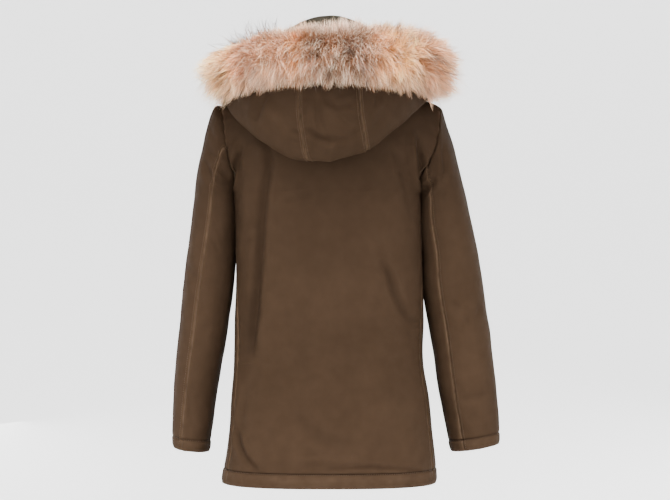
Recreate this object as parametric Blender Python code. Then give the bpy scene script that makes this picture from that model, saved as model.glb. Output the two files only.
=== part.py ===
"""Fur trimmed parka, closed and filled out as if worn, with its hood down on the back.

Every piece of cloth is a thin wall on one smooth surface: the body, a sleeve or the hood. A surface is
a function of two numbers, worked out from the tables below. Metres, +Z up, the front faces -Y, and the
wearer's left is +X. The origin is at the middle of the neck, level with the side neck points.
"""

import math
from collections import namedtuple

import bmesh
import bpy
import numpy as np
from mathutils import Matrix, Vector

# Driving dimensions.
HEM_Z = -0.730
UNDERARM_Z = -0.205
SHOULDER_Z = -0.045
NECK_HALF_WIDTH = 0.078
NECK_BACK = 0.068
NECK_FRONT = 0.078
NAPE_DROP = 0.018
THROAT_DROP = 0.070
WALL = 0.0025
SEAM_GAP = 0.0006
ARMHOLE_GAP = 0.0009
NECK_GAP = 0.0007
LAYER_GAP = 0.0008
FUR_GAP = 0.003

# The body's rings are rounded oblongs. Above the underarm they flatten towards the armholes.
RING_POWER = 2.7
YOKE_POWER = 4.0
ARMHOLE_DEPTH = {"back": 0.055, "front": 0.058}
# The fullness beside the armhole stays close to the seam at the underarm and spreads higher up.
ARMHOLE_EDGE_POWER = (30.0, 6.0)
NECK_COLUMN = 1 / 3
# How steeply the yoke leans in to the neck and shoulder: the back, and the front's middle and sides.
YOKE_STEEP = {"back": (0.5, 0.5), "front": (0.8, 0.5)}
# The share of the yoke's rise by which its rings are flat, and by which the armhole's fullness spreads.
YOKE_FLAT_RISE = 0.6
ARMHOLE_SPREAD_RISE = 0.45
SEAM_SHIFT = math.radians(20)
SEAM_SHIFT_FROM_Z = -0.230
SEAM_SHIFT_FULL_Z = -0.480

BodyRow = namedtuple("BodyRow", "z left right back front")
BODY = [
    BodyRow(-0.730, 0.1980, 0.1955, 0.122, 0.130),
    BodyRow(-0.697, 0.1920, 0.1930, 0.119, 0.128),
    BodyRow(-0.640, 0.1835, 0.1870, 0.115, 0.126),
    BodyRow(-0.575, 0.1800, 0.1805, 0.111, 0.122),
    BodyRow(-0.520, 0.1755, 0.1710, 0.107, 0.118),
    BodyRow(-0.440, 0.1740, 0.1710, 0.103, 0.113),
    BodyRow(-0.360, 0.1710, 0.1690, 0.102, 0.112),
    BodyRow(-0.280, 0.1740, 0.1670, 0.107, 0.116),
    BodyRow(-0.205, 0.1780, 0.1660, 0.113, 0.122),
]

# How far out the armhole seam stands at each height.
ArmholeRow = namedtuple("ArmholeRow", "z left right")
ARMHOLE = [
    ArmholeRow(-0.205, 0.1780, 0.1660),
    ArmholeRow(-0.180, 0.1735, 0.1640),
    ArmholeRow(-0.155, 0.1800, 0.1760),
    ArmholeRow(-0.125, 0.1870, 0.1910),
    ArmholeRow(-0.085, 0.1925, 0.1980),
    ArmholeRow(-0.045, 0.1980, 0.2000),
]

# The largest folds of the back: each runs from its top to its low end and sinks in by its depth.
Fold = namedtuple("Fold", "x_top z_top x_low z_low width depth")
BACK_FOLDS = [
    Fold(0.118, -0.085, 0.108, -0.420, 0.016, 0.0040),
    Fold(0.168, -0.110, 0.172, -0.200, 0.014, 0.0045),
    Fold(-0.158, -0.085, -0.150, -0.330, 0.014, 0.0040),
    Fold(-0.110, -0.350, -0.135, -0.480, 0.016, 0.0025),
]
FOLD_FADE_COLUMNS = 0.2

# One row for each sleeve ring, from the armhole to the cuff: its outer and inner ends, seen from
# behind, how deep it is to each side, and how far its middle stands to the back.
SleeveRow = namedtuple("SleeveRow", "place outer_x outer_z inner_x inner_z depth middle_y")
SLEEVES = {
    "left": [
        SleeveRow(0, 0.1980, -0.045, 0.1780, -0.2050, 0.0565, -0.0015),
        SleeveRow(1, 0.2125, -0.046, 0.1800, -0.2100, 0.0600, -0.0020),
        SleeveRow(2, 0.2215, -0.072, 0.1810, -0.2150, 0.0630, -0.0030),
        SleeveRow(3, 0.2315, -0.122, 0.1810, -0.2220, 0.0660, -0.0040),
        SleeveRow(4, 0.2400, -0.171, 0.1790, -0.2340, 0.0680, -0.0050),
        SleeveRow(5, 0.2475, -0.232, 0.1740, -0.2620, 0.0690, -0.0060),
        SleeveRow(6, 0.2575, -0.300, 0.1730, -0.3160, 0.0690, -0.0080),
        SleeveRow(7, 0.2665, -0.362, 0.1790, -0.3740, 0.0685, -0.0100),
        SleeveRow(8, 0.2745, -0.450, 0.1910, -0.4585, 0.0640, -0.0150),
        SleeveRow(9, 0.2820, -0.535, 0.2055, -0.5430, 0.0600, -0.0210),
        SleeveRow(10, 0.2870, -0.620, 0.2185, -0.6285, 0.0550, -0.0280),
        SleeveRow(11, 0.2865, -0.672, 0.2245, -0.6805, 0.0525, -0.0320),
    ],
    "right": [
        SleeveRow(0, 0.2000, -0.045, 0.1660, -0.2050, 0.0565, -0.0015),
        SleeveRow(1, 0.2065, -0.052, 0.1675, -0.2100, 0.0600, -0.0020),
        SleeveRow(2, 0.2150, -0.078, 0.1685, -0.2150, 0.0620, -0.0030),
        SleeveRow(3, 0.2290, -0.124, 0.1690, -0.2220, 0.0630, -0.0040),
        SleeveRow(4, 0.2420, -0.180, 0.1680, -0.2340, 0.0635, -0.0050),
        SleeveRow(5, 0.2555, -0.240, 0.1650, -0.2640, 0.0635, -0.0060),
        SleeveRow(6, 0.2680, -0.300, 0.1640, -0.3200, 0.0625, -0.0080),
        SleeveRow(7, 0.2775, -0.364, 0.1710, -0.3780, 0.0615, -0.0100),
        SleeveRow(8, 0.2905, -0.450, 0.1865, -0.4640, 0.0580, -0.0150),
        SleeveRow(9, 0.3015, -0.540, 0.2000, -0.5540, 0.0530, -0.0210),
        SleeveRow(10, 0.3080, -0.615, 0.2145, -0.6290, 0.0475, -0.0280),
        SleeveRow(11, 0.3105, -0.666, 0.2260, -0.6810, 0.0437, -0.0320),
    ],
}
ARMHOLE_FADE_ROWS = 3
SLEEVE_CLEARANCE = 0.0028
UNDERARM_BLEND = 0.020
# Angle round a sleeve: 0 is its outer line, 90 its back, 180 its inner line.
SLEEVE_BACK_SEAM = {"left": (90, 66), "right": (112, 122)}
SLEEVE_FRONT_SEAM = {"left": (232, 236), "right": (242, 250)}

# The hood is a fan of sections round the neck, at angles from the middle of the back, 0, to the middle
# of the front, 180. Each section runs through five loops: the neck seam, the roll over the neck, the
# fold at the bottom of the pouch, the outside, and the face edge in the middle of the fur.
Loop = namedtuple("Loop", "half_width back front")
ROLL = Loop(0.096, 0.092, 0.083)
FOLD = Loop(0.184, 0.152, 0.089)
OUTSIDE = Loop(0.187, 0.187, 0.095)
EDGE = Loop(0.168, 0.168, 0.101)
HoodRow = namedtuple("HoodRow", "angle roll fold outside edge")
HOOD = [
    HoodRow(0, 0.022, -0.152, -0.088, 0.030),
    HoodRow(22, 0.022, -0.138, -0.080, 0.031),
    HoodRow(40, 0.020, -0.104, -0.060, 0.031),
    HoodRow(56, 0.017, -0.075, -0.042, 0.030),
    HoodRow(74, 0.013, -0.046, -0.030, 0.030),
    HoodRow(92, 0.010, -0.029, -0.020, 0.031),
    HoodRow(112, 0.008, -0.024, -0.012, 0.038),
    HoodRow(130, 0.004, -0.008, 0.014, 0.060),
    HoodRow(150, -0.006, 0.018, 0.060, 0.104),
    HoodRow(165, -0.014, 0.030, 0.077, 0.127),
    HoodRow(174, -0.017, 0.035, 0.085, 0.134),
    HoodRow(180, -0.018, 0.036, 0.086, 0.135),
]
HOOD_RIGHT_SCALE = 0.93
FOLD_TILT = 0.10
HOOD_CENTRE_SEAM = 18

# The fur stands round the face edge as a tube, this far out and up at each angle.
FurRow = namedtuple("FurRow", "angle outward upward")
FUR = [
    FurRow(0, 0.058, 0.058),
    FurRow(40, 0.058, 0.054),
    FurRow(70, 0.055, 0.044),
    FurRow(92, 0.050, 0.038),
    FurRow(110, 0.038, 0.031),
    FurRow(122, 0.028, 0.023),
    FurRow(130, 0.020, 0.016),
    FurRow(136, 0.010, 0.008),
]
FUR_END = 136
FUR_END_ROOM = 12
HOOD_EDGE_CUT = 0.9
FUR_END_ROUND = 6
FUR_SIDES = 12
FUR_RINGS = 32

PLACKET_WIDTH = 0.056
PLACKET_WALL = 0.003
PLACKET_BOTTOM_Z = -0.722
PLACKET_HOOD_BOTTOM = 0.03
PLACKET_HOOD_TOP = 0.94
PLACKET_COLUMNS = 4
SNAP_HEIGHTS = (-0.660, -0.545, -0.430, -0.315, -0.200)
SNAP_COLLAR_PLACE = 0.55
SNAP_RADIUS = 0.0075
SNAP_THICKNESS = 0.0022
SNAP_TOP_SCALE = 0.86
SNAP_SIDES = 20
SNAP_SHIFT = -0.013

POCKET_COLUMNS = (0.18, 0.62)
POCKET_TOP_Z = -0.600
POCKET_BOTTOM_Z = -0.702
POCKET_WALL = 0.0025
FLAP_COLUMNS = (0.165, 0.635)
FLAP_TOP_Z = -0.574
FLAP_BOTTOM_Z = -0.636
FLAP_WALL = 0.0025

CLOTH_COLOUR = (0.062, 0.038, 0.022, 1.0)
FUR_COLOUR = (0.62, 0.42, 0.29, 1.0)
METAL_COLOUR = (0.10, 0.09, 0.08, 1.0)

# The body's rows lie at these heights and then share the yoke evenly, where each meets a column of the
# sleeve at the armhole. Its columns are closer under the neck, where each meets a section of the hood.
BODY_HEIGHTS = (-0.730, -0.702, -0.668, -0.636, -0.600, -0.574, -0.520, -0.450, -0.380, -0.310, -0.250)
YOKE_ROWS = 9
NECK_COLUMNS = 6
SHOULDER_COLUMNS = 6
SLEEVE_STEP = 180 // YOKE_ROWS
SLEEVE_STEPS = (0, 0.5, 1, 2, 3, 4, 5, 6, 7, 8, 9, 10, 11)
HOOD_STEP = 15
HOOD_STEPS = (0, 0.12, 0.24, 0.36, 0.46, 0.54, 0.64, 0.80, 1)


def track(rows, column, at):
    """The smooth value of one column of a table, at a place along its first column."""
    places = [row[0] for row in rows]
    values = [getattr(row, column) for row in rows]
    slopes = np.gradient(values, places)
    index = min(max(int(np.searchsorted(places, at)) - 1, 0), len(rows) - 2)
    span = places[index + 1] - places[index]
    share = min(max((at - places[index]) / span, 0.0), 1.0)
    back = 1.0 - share
    return float(
        values[index] * back * back * (1 + 2 * share)
        + values[index + 1] * share * share * (3 - 2 * share)
        + slopes[index] * span * share * back * back
        - slopes[index + 1] * span * share * share * back
    )


def mix(low, high, share):
    return low + (high - low) * share


def ease(low, high, value):
    """0 below low, 1 above high, and smooth between."""
    share = min(max((value - low) / (high - low), 0.0), 1.0)
    return share * share * (3 - 2 * share)


def power(value, exponent):
    """A power that keeps the value's sign."""
    return math.copysign(abs(value) ** exponent, value)


def side_of(x):
    return "left" if x >= 0 else "right"


def neck_point(angle):
    """A point of the neck seam, at an angle in radians from the middle of the back."""
    to_back = math.cos(angle)
    depth, drop = (NECK_BACK, NAPE_DROP) if to_back >= 0 else (NECK_FRONT, THROAT_DROP)
    return Vector((NECK_HALF_WIDTH * math.sin(angle), depth * to_back, -drop * abs(to_back) ** 1.5))


def ring_point(angle, z):
    """A point of the body below the underarm, at an angle in radians from the middle of the back."""
    across = power(math.sin(angle), 2 / RING_POWER)
    along = power(math.cos(angle), 2 / RING_POWER)
    half_width = track(BODY, side_of(across), z)
    depth = track(BODY, "back" if along >= 0 else "front", z)
    return Vector((half_width * across, depth * along, z))


def fold_depth(x, z):
    """How far the back's folds sink in at a place."""
    total = 0.0
    for fold in BACK_FOLDS:
        share = (fold.z_top - z) / (fold.z_top - fold.z_low)
        if 0 < share < 1:
            off = (x - mix(fold.x_top, fold.x_low, share)) / fold.width
            total += fold.depth * math.sin(math.pi * share) ** 0.7 * math.exp(-off * off)
    return total


def yoke_point(face, column, level):
    """A point of the body above the underarm, where level runs from 1 to 2, the shoulder and neck."""
    rise = (1 - math.cos(math.pi * (level - 1))) / 2
    place = abs(column)
    ring_share = math.sin(math.pi / 2 * place) ** (2 / RING_POWER)
    edge_z = mix(UNDERARM_Z, SHOULDER_Z, rise)
    armhole_x = track(ARMHOLE, side_of(column), edge_z)
    shoulder_x = getattr(ARMHOLE[-1], side_of(column))
    if place < NECK_COLUMN:
        angle = math.pi / 2 * place / NECK_COLUMN
        top = neck_point(angle if face == "back" else math.pi - angle)
    else:
        share = (place - NECK_COLUMN) / (1 - NECK_COLUMN)
        top = Vector((mix(NECK_HALF_WIDTH, shoulder_x, share), 0, SHOULDER_Z * share))
    share = mix(ring_share, top.x / shoulder_x, rise)
    flat = ease(0.0, YOKE_FLAT_RISE, rise)
    rounded = max(1 - share**RING_POWER, 0.0) ** (1 / RING_POWER)
    depth = getattr(BODY[-1], face) * mix(rounded, 1 - share**YOKE_POWER, flat)
    steep = mix(*YOKE_STEEP[face], ease(0, NECK_COLUMN, place))
    fullness = (1 - rise**3) ** steep
    out = abs(top.y) + (depth - abs(top.y)) * fullness
    edge_power = mix(*ARMHOLE_EDGE_POWER, ease(0.0, ARMHOLE_SPREAD_RISE, rise))
    out += ARMHOLE_DEPTH[face] * 2 * math.sqrt(rise * (1 - rise)) * share**edge_power
    x = math.copysign(armhole_x * share, column)
    return Vector((x, out if face == "back" else -out, mix(UNDERARM_Z, top.z, rise)))


def body_point(face, column, level):
    """A point of the body's outside. Column is 0 at the middle and 1 at the wearer's left side seam."""
    if level > 1:
        point = yoke_point(face, column, level)
    else:
        z = mix(HEM_Z, UNDERARM_Z, level)
        shift = SEAM_SHIFT * ease(-SEAM_SHIFT_FROM_Z, -SEAM_SHIFT_FULL_Z, -z)
        if face == "back":
            angle = column * (math.pi / 2 - shift)
        else:
            angle = math.pi - column * (math.pi / 2 + shift)
        point = ring_point(angle, z)
    if face == "back":
        point.y -= fold_depth(point.x, point.z) * ease(0.0, FOLD_FADE_COLUMNS, 1 - abs(column))
    return point


def level_of(z):
    """The level of a height below the underarm."""
    return (z - HEM_Z) / (UNDERARM_Z - HEM_Z)


def body_columns():
    """The columns of one half of the body, from its middle to its side seam."""
    neck = [NECK_COLUMN * index / NECK_COLUMNS for index in range(NECK_COLUMNS)]
    return neck + [mix(NECK_COLUMN, 1, index / SHOULDER_COLUMNS) for index in range(SHOULDER_COLUMNS + 1)]


def body_levels():
    """The levels of the body's rows, from the hem to the shoulder."""
    return [level_of(z) for z in BODY_HEIGHTS] + [1 + index / YOKE_ROWS for index in range(YOKE_ROWS + 1)]


def cell_of(places, at):
    """The index of the grid cell that holds a place, and how far across it the place is."""
    index = min(max(int(np.searchsorted(places, at)) - 1, 0), len(places) - 2)
    return index, (at - places[index]) / (places[index + 1] - places[index])


def faceted_front(column, level):
    """A point of the front as its flat facets have it, for what lies on it."""
    columns, levels = body_columns(), body_levels()
    across, x_share = cell_of(columns, abs(column))
    up, z_share = cell_of(levels, level)
    sign = -1 if column < 0 else 1
    low, high = (
        body_point("front", sign * columns[across], levels[row]).lerp(
            body_point("front", sign * columns[across + 1], levels[row]), x_share
        )
        for row in (up, up + 1)
    )
    return low.lerp(high, z_share)


def between(places, low, high):
    """The two ends, and each of the places that lies between them."""
    return [low] + [place for place in places if low + 1e-4 < place < high - 1e-4] + [high]


def armhole_point(side, angle):
    """A point of the armhole seam, at an angle from the shoulder, 0, through the back, 90 degrees."""
    z = mix(UNDERARM_Z, SHOULDER_Z, (1 + math.cos(angle)) / 2)
    depth = ARMHOLE_DEPTH["back" if math.sin(angle) >= 0 else "front"]
    return Vector((track(ARMHOLE, side, z), depth * math.sin(angle), z))


def sleeve_ring_point(side, angle, place):
    """A point of an oval sleeve ring, as on the wearer's left."""
    rows = SLEEVES[side]
    outer = Vector((track(rows, "outer_x", place), 0, track(rows, "outer_z", place)))
    inner = Vector((track(rows, "inner_x", place), 0, track(rows, "inner_z", place)))
    point = (outer + inner) / 2 + (outer - inner) / 2 * math.cos(angle)
    point.y = track(rows, "middle_y", place) + track(rows, "depth", place) * math.sin(angle)
    return point


def sleeve_point(side, angle, place):
    """A point of a sleeve's outside: it leaves the armhole, and rests just off the body's side."""
    point = sleeve_ring_point(side, angle, place)
    left_over = 1 - ease(0, ARMHOLE_FADE_ROWS, place)
    point += (armhole_point(side, angle) - sleeve_ring_point(side, angle, 0)) * left_over
    point.x += ARMHOLE_GAP
    if point.z < UNDERARM_Z:
        depth = track(BODY, "back" if point.y >= 0 else "front", point.z)
        inside = max(1 - abs(point.y / depth) ** RING_POWER, 0.0) ** (1 / RING_POWER)
        under = ease(0, UNDERARM_BLEND, UNDERARM_Z - point.z)
        body_x = track(BODY, side, point.z) * mix(1, inside, under)
    else:
        body_x = track(ARMHOLE, side, point.z)
    point.x = max(point.x, body_x + ARMHOLE_GAP + SLEEVE_CLEARANCE * ease(0, 1, place))
    if side == "right":
        point.x = -point.x
    return point


def loop_point(loop, column, angle):
    """A point of one of the hood's loops, at an angle in radians from the middle of the back."""
    to_back = math.cos(angle)
    x = loop.half_width * math.sin(angle)
    if x < 0:
        x *= HOOD_RIGHT_SCALE
    y = (loop.back if to_back >= 0 else loop.front) * to_back
    z = track(HOOD, column, abs(math.degrees(angle)))
    if column in ("fold", "outside"):
        z -= FOLD_TILT * x * max(to_back, 0.0)
    return Vector((x, y, z))


def fur_reach(degrees):
    """How far the fur stands out and up from the face edge. It has shrunk to nothing past its end."""
    past = ease(FUR_END, FUR_END + FUR_END_ROUND, degrees)
    return (
        track(FUR, "outward", degrees) * (1 - past),
        track(FUR, "upward", degrees) * (1 - past),
    )


def edge_frame(angle):
    """The middle of the fur at an angle, with the directions straight out from its line and up."""
    step = math.radians(0.5)
    middle = loop_point(EDGE, "edge", angle)
    along = loop_point(EDGE, "edge", angle + step) - loop_point(EDGE, "edge", angle - step)
    outward = Vector((-along.y, along.x, 0)).normalized()
    return middle, outward, along.normalized().cross(outward)


def hood_controls(angle):
    """The five points of the hood's section at an angle. The last is cut back to the fur's surface."""
    neck = neck_point(angle) + Vector((0, 0, NECK_GAP))
    roll = loop_point(ROLL, "roll", angle)
    fold = loop_point(FOLD, "fold", angle)
    outside = loop_point(OUTSIDE, "outside", angle)
    edge, outward, upward = edge_frame(angle)
    wide, tall = fur_reach(max(abs(math.degrees(angle)) - FUR_END_ROOM, 0))
    if wide > 0:
        back = outside - edge
        room = back.length * HOOD_EDGE_CUT
        back.normalize()
        cut = 1 / math.hypot(back.dot(outward) / wide, back.dot(upward) / tall) + FUR_GAP
        edge += back * min(cut, room)
    return [neck, roll, fold, outside, edge]


def hood_point(angle, place):
    """A point of the hood's outside, from the neck seam, 0, to the face edge, 1."""
    points = hood_controls(angle)
    spans = len(points) - 1
    index = min(int(place * spans), spans - 1)
    share = place * spans - index
    before = points[index - 1] if index else points[0] * 2 - points[1]
    after = points[index + 2] if index < spans - 1 else points[spans] * 2 - points[spans - 1]
    start, end = points[index], points[index + 1]
    rise, fall = (end - before) / 2, (after - start) / 2
    back = 1 - share
    return (
        start * back * back * (1 + 2 * share)
        + end * share * share * (3 - 2 * share)
        + rise * share * back * back
        - fall * share * share * back
    )


def material(name, colour, roughness, metallic=0.0):
    made = bpy.data.materials.new(name)
    made.use_nodes = True
    shader = made.node_tree.nodes["Principled BSDF"]
    shader.inputs["Base Color"].default_value = colour
    shader.inputs["Roughness"].default_value = roughness
    shader.inputs["Metallic"].default_value = metallic
    return made


def add_object(name, mesh_data, collection, finish):
    made = bpy.data.objects.new(name, mesh_data)
    mesh_data.materials.append(finish)
    mesh_data.shade_smooth()
    mesh_data.set_sharp_from_angle(angle=math.radians(45))
    collection.objects.link(made)
    return made


def normal_at(surface, u, v, u_ends, v_ends):
    """The surface's normal, from small steps that stay between the panel's ends."""
    u_step = (u_ends[1] - u_ends[0]) * 1e-3
    v_step = (v_ends[1] - v_ends[0]) * 1e-3
    low_u, high_u = sorted(u_ends)
    low_v, high_v = sorted(v_ends)
    sides = [min(max(u + step, low_u), high_u) for step in (-u_step, u_step)]
    ends = [min(max(v + step, low_v), high_v) for step in (-v_step, v_step)]
    along_u = surface(sides[1], v) - surface(sides[0], v)
    along_v = surface(u, ends[1]) - surface(u, ends[0])
    return along_u.cross(along_v).normalized()


def add_wall(name, surface, us, vs, collection, finish, wall=WALL, lift=0.0, facing=1):
    """A closed wall on a grid of a surface, moved out by lift, with half a seam's gap off each edge."""
    count, rows = len(us), len(vs)
    shape = bmesh.new()
    outside, inside = [], []
    for v in vs:
        outer_row, inner_row = [], []
        for u in us:
            point = surface(u, v)
            normal = normal_at(surface, u, v, (us[0], us[-1]), (vs[0], vs[-1])) * facing
            outer_row.append(point + normal * (lift + (wall if lift else 0)))
            inner_row.append(point + normal * (lift - (0 if lift else wall)))
        outside.append(outer_row)
        inside.append(inner_row)
    for skin in (outside, inside):
        for row in skin:
            row[0] = row[0] + (row[1] - row[0]).normalized() * SEAM_GAP / 2
            row[-1] = row[-1] + (row[-2] - row[-1]).normalized() * SEAM_GAP / 2
        for column in range(count):
            start = (skin[1][column] - skin[0][column]).normalized()
            end = (skin[-2][column] - skin[-1][column]).normalized()
            skin[0][column] = skin[0][column] + start * SEAM_GAP / 2
            skin[-1][column] = skin[-1][column] + end * SEAM_GAP / 2
    outer = [[shape.verts.new(point) for point in row] for row in outside]
    inner = [[shape.verts.new(point) for point in row] for row in inside]
    for row in range(rows - 1):
        for column in range(count - 1):
            for skin in (outer, inner):
                shape.faces.new(
                    (
                        skin[row][column],
                        skin[row][column + 1],
                        skin[row + 1][column + 1],
                        skin[row + 1][column],
                    )
                )
    rim = [(0, column) for column in range(count)]
    rim += [(row, count - 1) for row in range(1, rows)]
    rim += [(rows - 1, column) for column in range(count - 2, -1, -1)]
    rim += [(row, 0) for row in range(rows - 2, 0, -1)]
    for index, (row, column) in enumerate(rim):
        next_row, next_column = rim[(index + 1) % len(rim)]
        shape.faces.new(
            (
                outer[row][column],
                outer[next_row][next_column],
                inner[next_row][next_column],
                inner[row][column],
            )
        )
    bmesh.ops.recalc_face_normals(shape, faces=shape.faces)
    data = bpy.data.meshes.new(name)
    shape.to_mesh(data)
    shape.free()
    return add_object(name, data, collection, finish)


def add_body(collection, finish):
    left = body_columns()
    right = [-column for column in reversed(left)]
    panels = {
        "back": ("back", right[:-1] + left),
        "front_left": ("front", left),
        "front_right": ("front", right),
    }
    for name, (face, columns) in panels.items():
        add_wall(
            name,
            lambda column, level, face=face: body_point(face, column, level),
            columns,
            body_levels(),
            collection,
            finish,
            facing=-1 if face == "back" else 1,
        )


def add_sleeve(side, collection, finish):
    back, front = SLEEVE_BACK_SEAM[side], SLEEVE_FRONT_SEAM[side]
    panels = {"upper": (front[0] - 360, back[0]), "under": (back[0], front[0])}
    back_turn, front_turn = back[1] - back[0], front[1] - front[0]
    turns = {"upper": (front_turn, back_turn), "under": (back_turn, front_turn)}
    for piece, (start, end) in panels.items():
        turn = turns[piece]

        def surface(degrees, place, start=start, end=end, turn=turn):
            lean = mix(turn[0], turn[1], (degrees - start) / (end - start))
            return sleeve_point(side, math.radians(degrees + lean * place / SLEEVE_STEPS[-1]), place)

        add_wall(
            f"sleeve_{side}_{piece}",
            surface,
            between(range(-360, 361, SLEEVE_STEP), start, end),
            SLEEVE_STEPS,
            collection,
            finish,
            facing=-1 if side == "left" else 1,
        )


def add_hood(collection, finish):
    seam = HOOD_CENTRE_SEAM
    angles = range(-180, 181, HOOD_STEP)
    panels = {"hood_right": (-180, -seam), "hood_centre": (-seam, seam), "hood_left": (seam, 180)}
    for name, (start, end) in panels.items():
        add_wall(
            name,
            lambda degrees, place: hood_point(math.radians(degrees), place),
            between(angles, start, end),
            HOOD_STEPS,
            collection,
            finish,
            facing=-1,
        )


def add_fur(collection, finish):
    """The fur's reach: a closed tube round the face edge, from one end of the trim to the other."""
    shape = bmesh.new()
    rings = []
    for index in range(FUR_RINGS + 1):
        angle = math.radians(mix(-FUR_END, FUR_END, index / FUR_RINGS))
        middle, outward, upward = edge_frame(angle)
        wide, tall = fur_reach(abs(math.degrees(angle)))
        rings.append(
            [
                shape.verts.new(
                    middle
                    + outward * wide * math.cos(2 * math.pi * side / FUR_SIDES)
                    + upward * tall * math.sin(2 * math.pi * side / FUR_SIDES)
                )
                for side in range(FUR_SIDES)
            ]
        )
    for first, second in zip(rings, rings[1:]):
        for side in range(FUR_SIDES):
            after = (side + 1) % FUR_SIDES
            shape.faces.new((first[side], first[after], second[after], second[side]))
    shape.faces.new(rings[0])
    shape.faces.new(rings[-1])
    bmesh.ops.recalc_face_normals(shape, faces=shape.faces)
    data = bpy.data.meshes.new("fur_trim")
    shape.to_mesh(data)
    shape.free()
    add_object("fur_trim", data, collection, finish)


def front_column(x, level):
    """The front's column at a distance from the middle."""
    low, high = 0.0, 1.0
    for _ in range(40):
        middle = (low + high) / 2
        if faceted_front(middle, level).x < abs(x):
            low = middle
        else:
            high = middle
    return math.copysign(low, x)


def placket_point(x, place):
    """A point of the closed front's middle: place 0 to 2 is the body's level, 2 to 3 the hood's place."""
    if place <= 2:
        return faceted_front(front_column(x, place), place)
    hood_place = place - 2
    half_width = hood_point(math.pi / 2, hood_place).x
    width_at_front = max(half_width, NECK_HALF_WIDTH)
    return hood_point(math.pi - math.asin(x / width_at_front), hood_place)


def add_placket(collection, finish):
    body_places = between(body_levels(), level_of(PLACKET_BOTTOM_Z), 2)[:-1]
    hood_places = [2 + place for place in between(HOOD_STEPS, PLACKET_HOOD_BOTTOM, PLACKET_HOOD_TOP)]
    half = PLACKET_WIDTH / 2
    add_wall(
        "placket",
        placket_point,
        [mix(-half, half, index / PLACKET_COLUMNS) for index in range(PLACKET_COLUMNS + 1)],
        body_places + hood_places,
        collection,
        finish,
        wall=PLACKET_WALL,
        lift=LAYER_GAP,
    )


def add_snap(number, place, collection, finish):
    """A press stud's cap, flat on the placket."""
    point = placket_point(SNAP_SHIFT, place)
    ends = (-PLACKET_WIDTH / 2, PLACKET_WIDTH / 2)
    normal = normal_at(placket_point, SNAP_SHIFT, place, ends, (0, 3))
    lift = LAYER_GAP + PLACKET_WALL + LAYER_GAP + SNAP_THICKNESS / 2
    shape = bmesh.new()
    bmesh.ops.create_cone(
        shape,
        cap_ends=True,
        segments=SNAP_SIDES,
        radius1=SNAP_RADIUS,
        radius2=SNAP_RADIUS * SNAP_TOP_SCALE,
        depth=SNAP_THICKNESS,
    )
    data = bpy.data.meshes.new(f"snap_{number}")
    shape.to_mesh(data)
    shape.free()
    made = add_object(f"snap_{number}", data, collection, finish)
    turn = normal.to_track_quat("Z", "Y")
    made.matrix_world = Matrix.Translation(point + normal * lift) @ turn.to_matrix().to_4x4()


def add_pocket(side, collection, finish):
    sign = 1 if side == "left" else -1
    patches = {
        "pocket": (POCKET_COLUMNS, POCKET_BOTTOM_Z, POCKET_TOP_Z, POCKET_WALL, LAYER_GAP),
        "flap": (FLAP_COLUMNS, FLAP_BOTTOM_Z, FLAP_TOP_Z, FLAP_WALL, POCKET_WALL + 2 * LAYER_GAP),
    }
    for piece, (columns, low, high, wall, lift) in patches.items():
        add_wall(
            f"{piece}_{side}",
            faceted_front,
            sorted(sign * column for column in between(body_columns(), *columns)),
            between(body_levels(), level_of(low), level_of(high)),
            collection,
            finish,
            wall=wall,
            lift=lift,
        )


def main():
    for old in list(bpy.data.objects):
        bpy.data.objects.remove(old)
    collection = bpy.data.collections.new("fur_trimmed_parka")
    bpy.context.scene.collection.children.link(collection)
    cloth = material("cotton_sateen", CLOTH_COLOUR, 0.62)
    fur = material("fur", FUR_COLOUR, 0.9)
    metal = material("dark_metal", METAL_COLOUR, 0.35, metallic=1.0)
    add_body(collection, cloth)
    for side in ("left", "right"):
        add_sleeve(side, collection, cloth)
        add_pocket(side, collection, cloth)
    add_hood(collection, cloth)
    add_fur(collection, fur)
    add_placket(collection, cloth)
    snap_places = [level_of(z) for z in SNAP_HEIGHTS] + [2 + SNAP_COLLAR_PLACE]
    for number, place in enumerate(snap_places, 1):
        add_snap(number, place, collection, metal)


main()
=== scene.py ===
"""Fur trimmed parka: the look of every piece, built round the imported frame.

The cloth is modelled on the smooth surfaces of the garment's form, in metres, +Z up. The front faces -Y
and the wearer's left is +X. Each panel is a thin shell with its own creases, seams, hems and stitching.
"""

import logging
import math
from dataclasses import dataclass, field
from enum import Enum
from typing import Callable, Optional, Sequence, Union

import bpy
import numpy as np
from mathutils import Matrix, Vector


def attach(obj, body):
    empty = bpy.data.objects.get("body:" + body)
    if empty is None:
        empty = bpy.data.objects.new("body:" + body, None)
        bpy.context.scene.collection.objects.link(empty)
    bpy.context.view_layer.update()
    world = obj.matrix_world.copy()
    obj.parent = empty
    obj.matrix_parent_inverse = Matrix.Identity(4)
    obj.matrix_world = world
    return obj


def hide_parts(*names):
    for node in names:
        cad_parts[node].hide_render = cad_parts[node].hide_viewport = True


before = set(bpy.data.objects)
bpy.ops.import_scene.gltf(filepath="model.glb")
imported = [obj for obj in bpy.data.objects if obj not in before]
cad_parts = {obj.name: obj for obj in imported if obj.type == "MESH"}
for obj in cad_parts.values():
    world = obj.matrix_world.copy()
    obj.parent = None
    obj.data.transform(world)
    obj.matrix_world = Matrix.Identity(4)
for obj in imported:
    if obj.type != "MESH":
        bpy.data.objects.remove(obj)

log = logging.getLogger("fur_trimmed_parka")

Array = np.ndarray
Surface = Callable[[Array, Array], Array]
Colour = tuple[float, float, float]

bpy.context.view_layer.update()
BODY = "root"


class Side(Enum):
    """The wearer's side a piece is on, as the sign of its X."""

    LEFT = 1
    RIGHT = -1

    @property
    def word(self) -> str:
        """The side's name in a piece's name."""
        return self.name.lower()


class Face(Enum):
    """The half of the body a panel covers, as the sign of its Y."""

    BACK = 1
    FRONT = -1


# ---------------------------------------------------------------------------------------------------------
# Curves and small helpers


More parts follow.
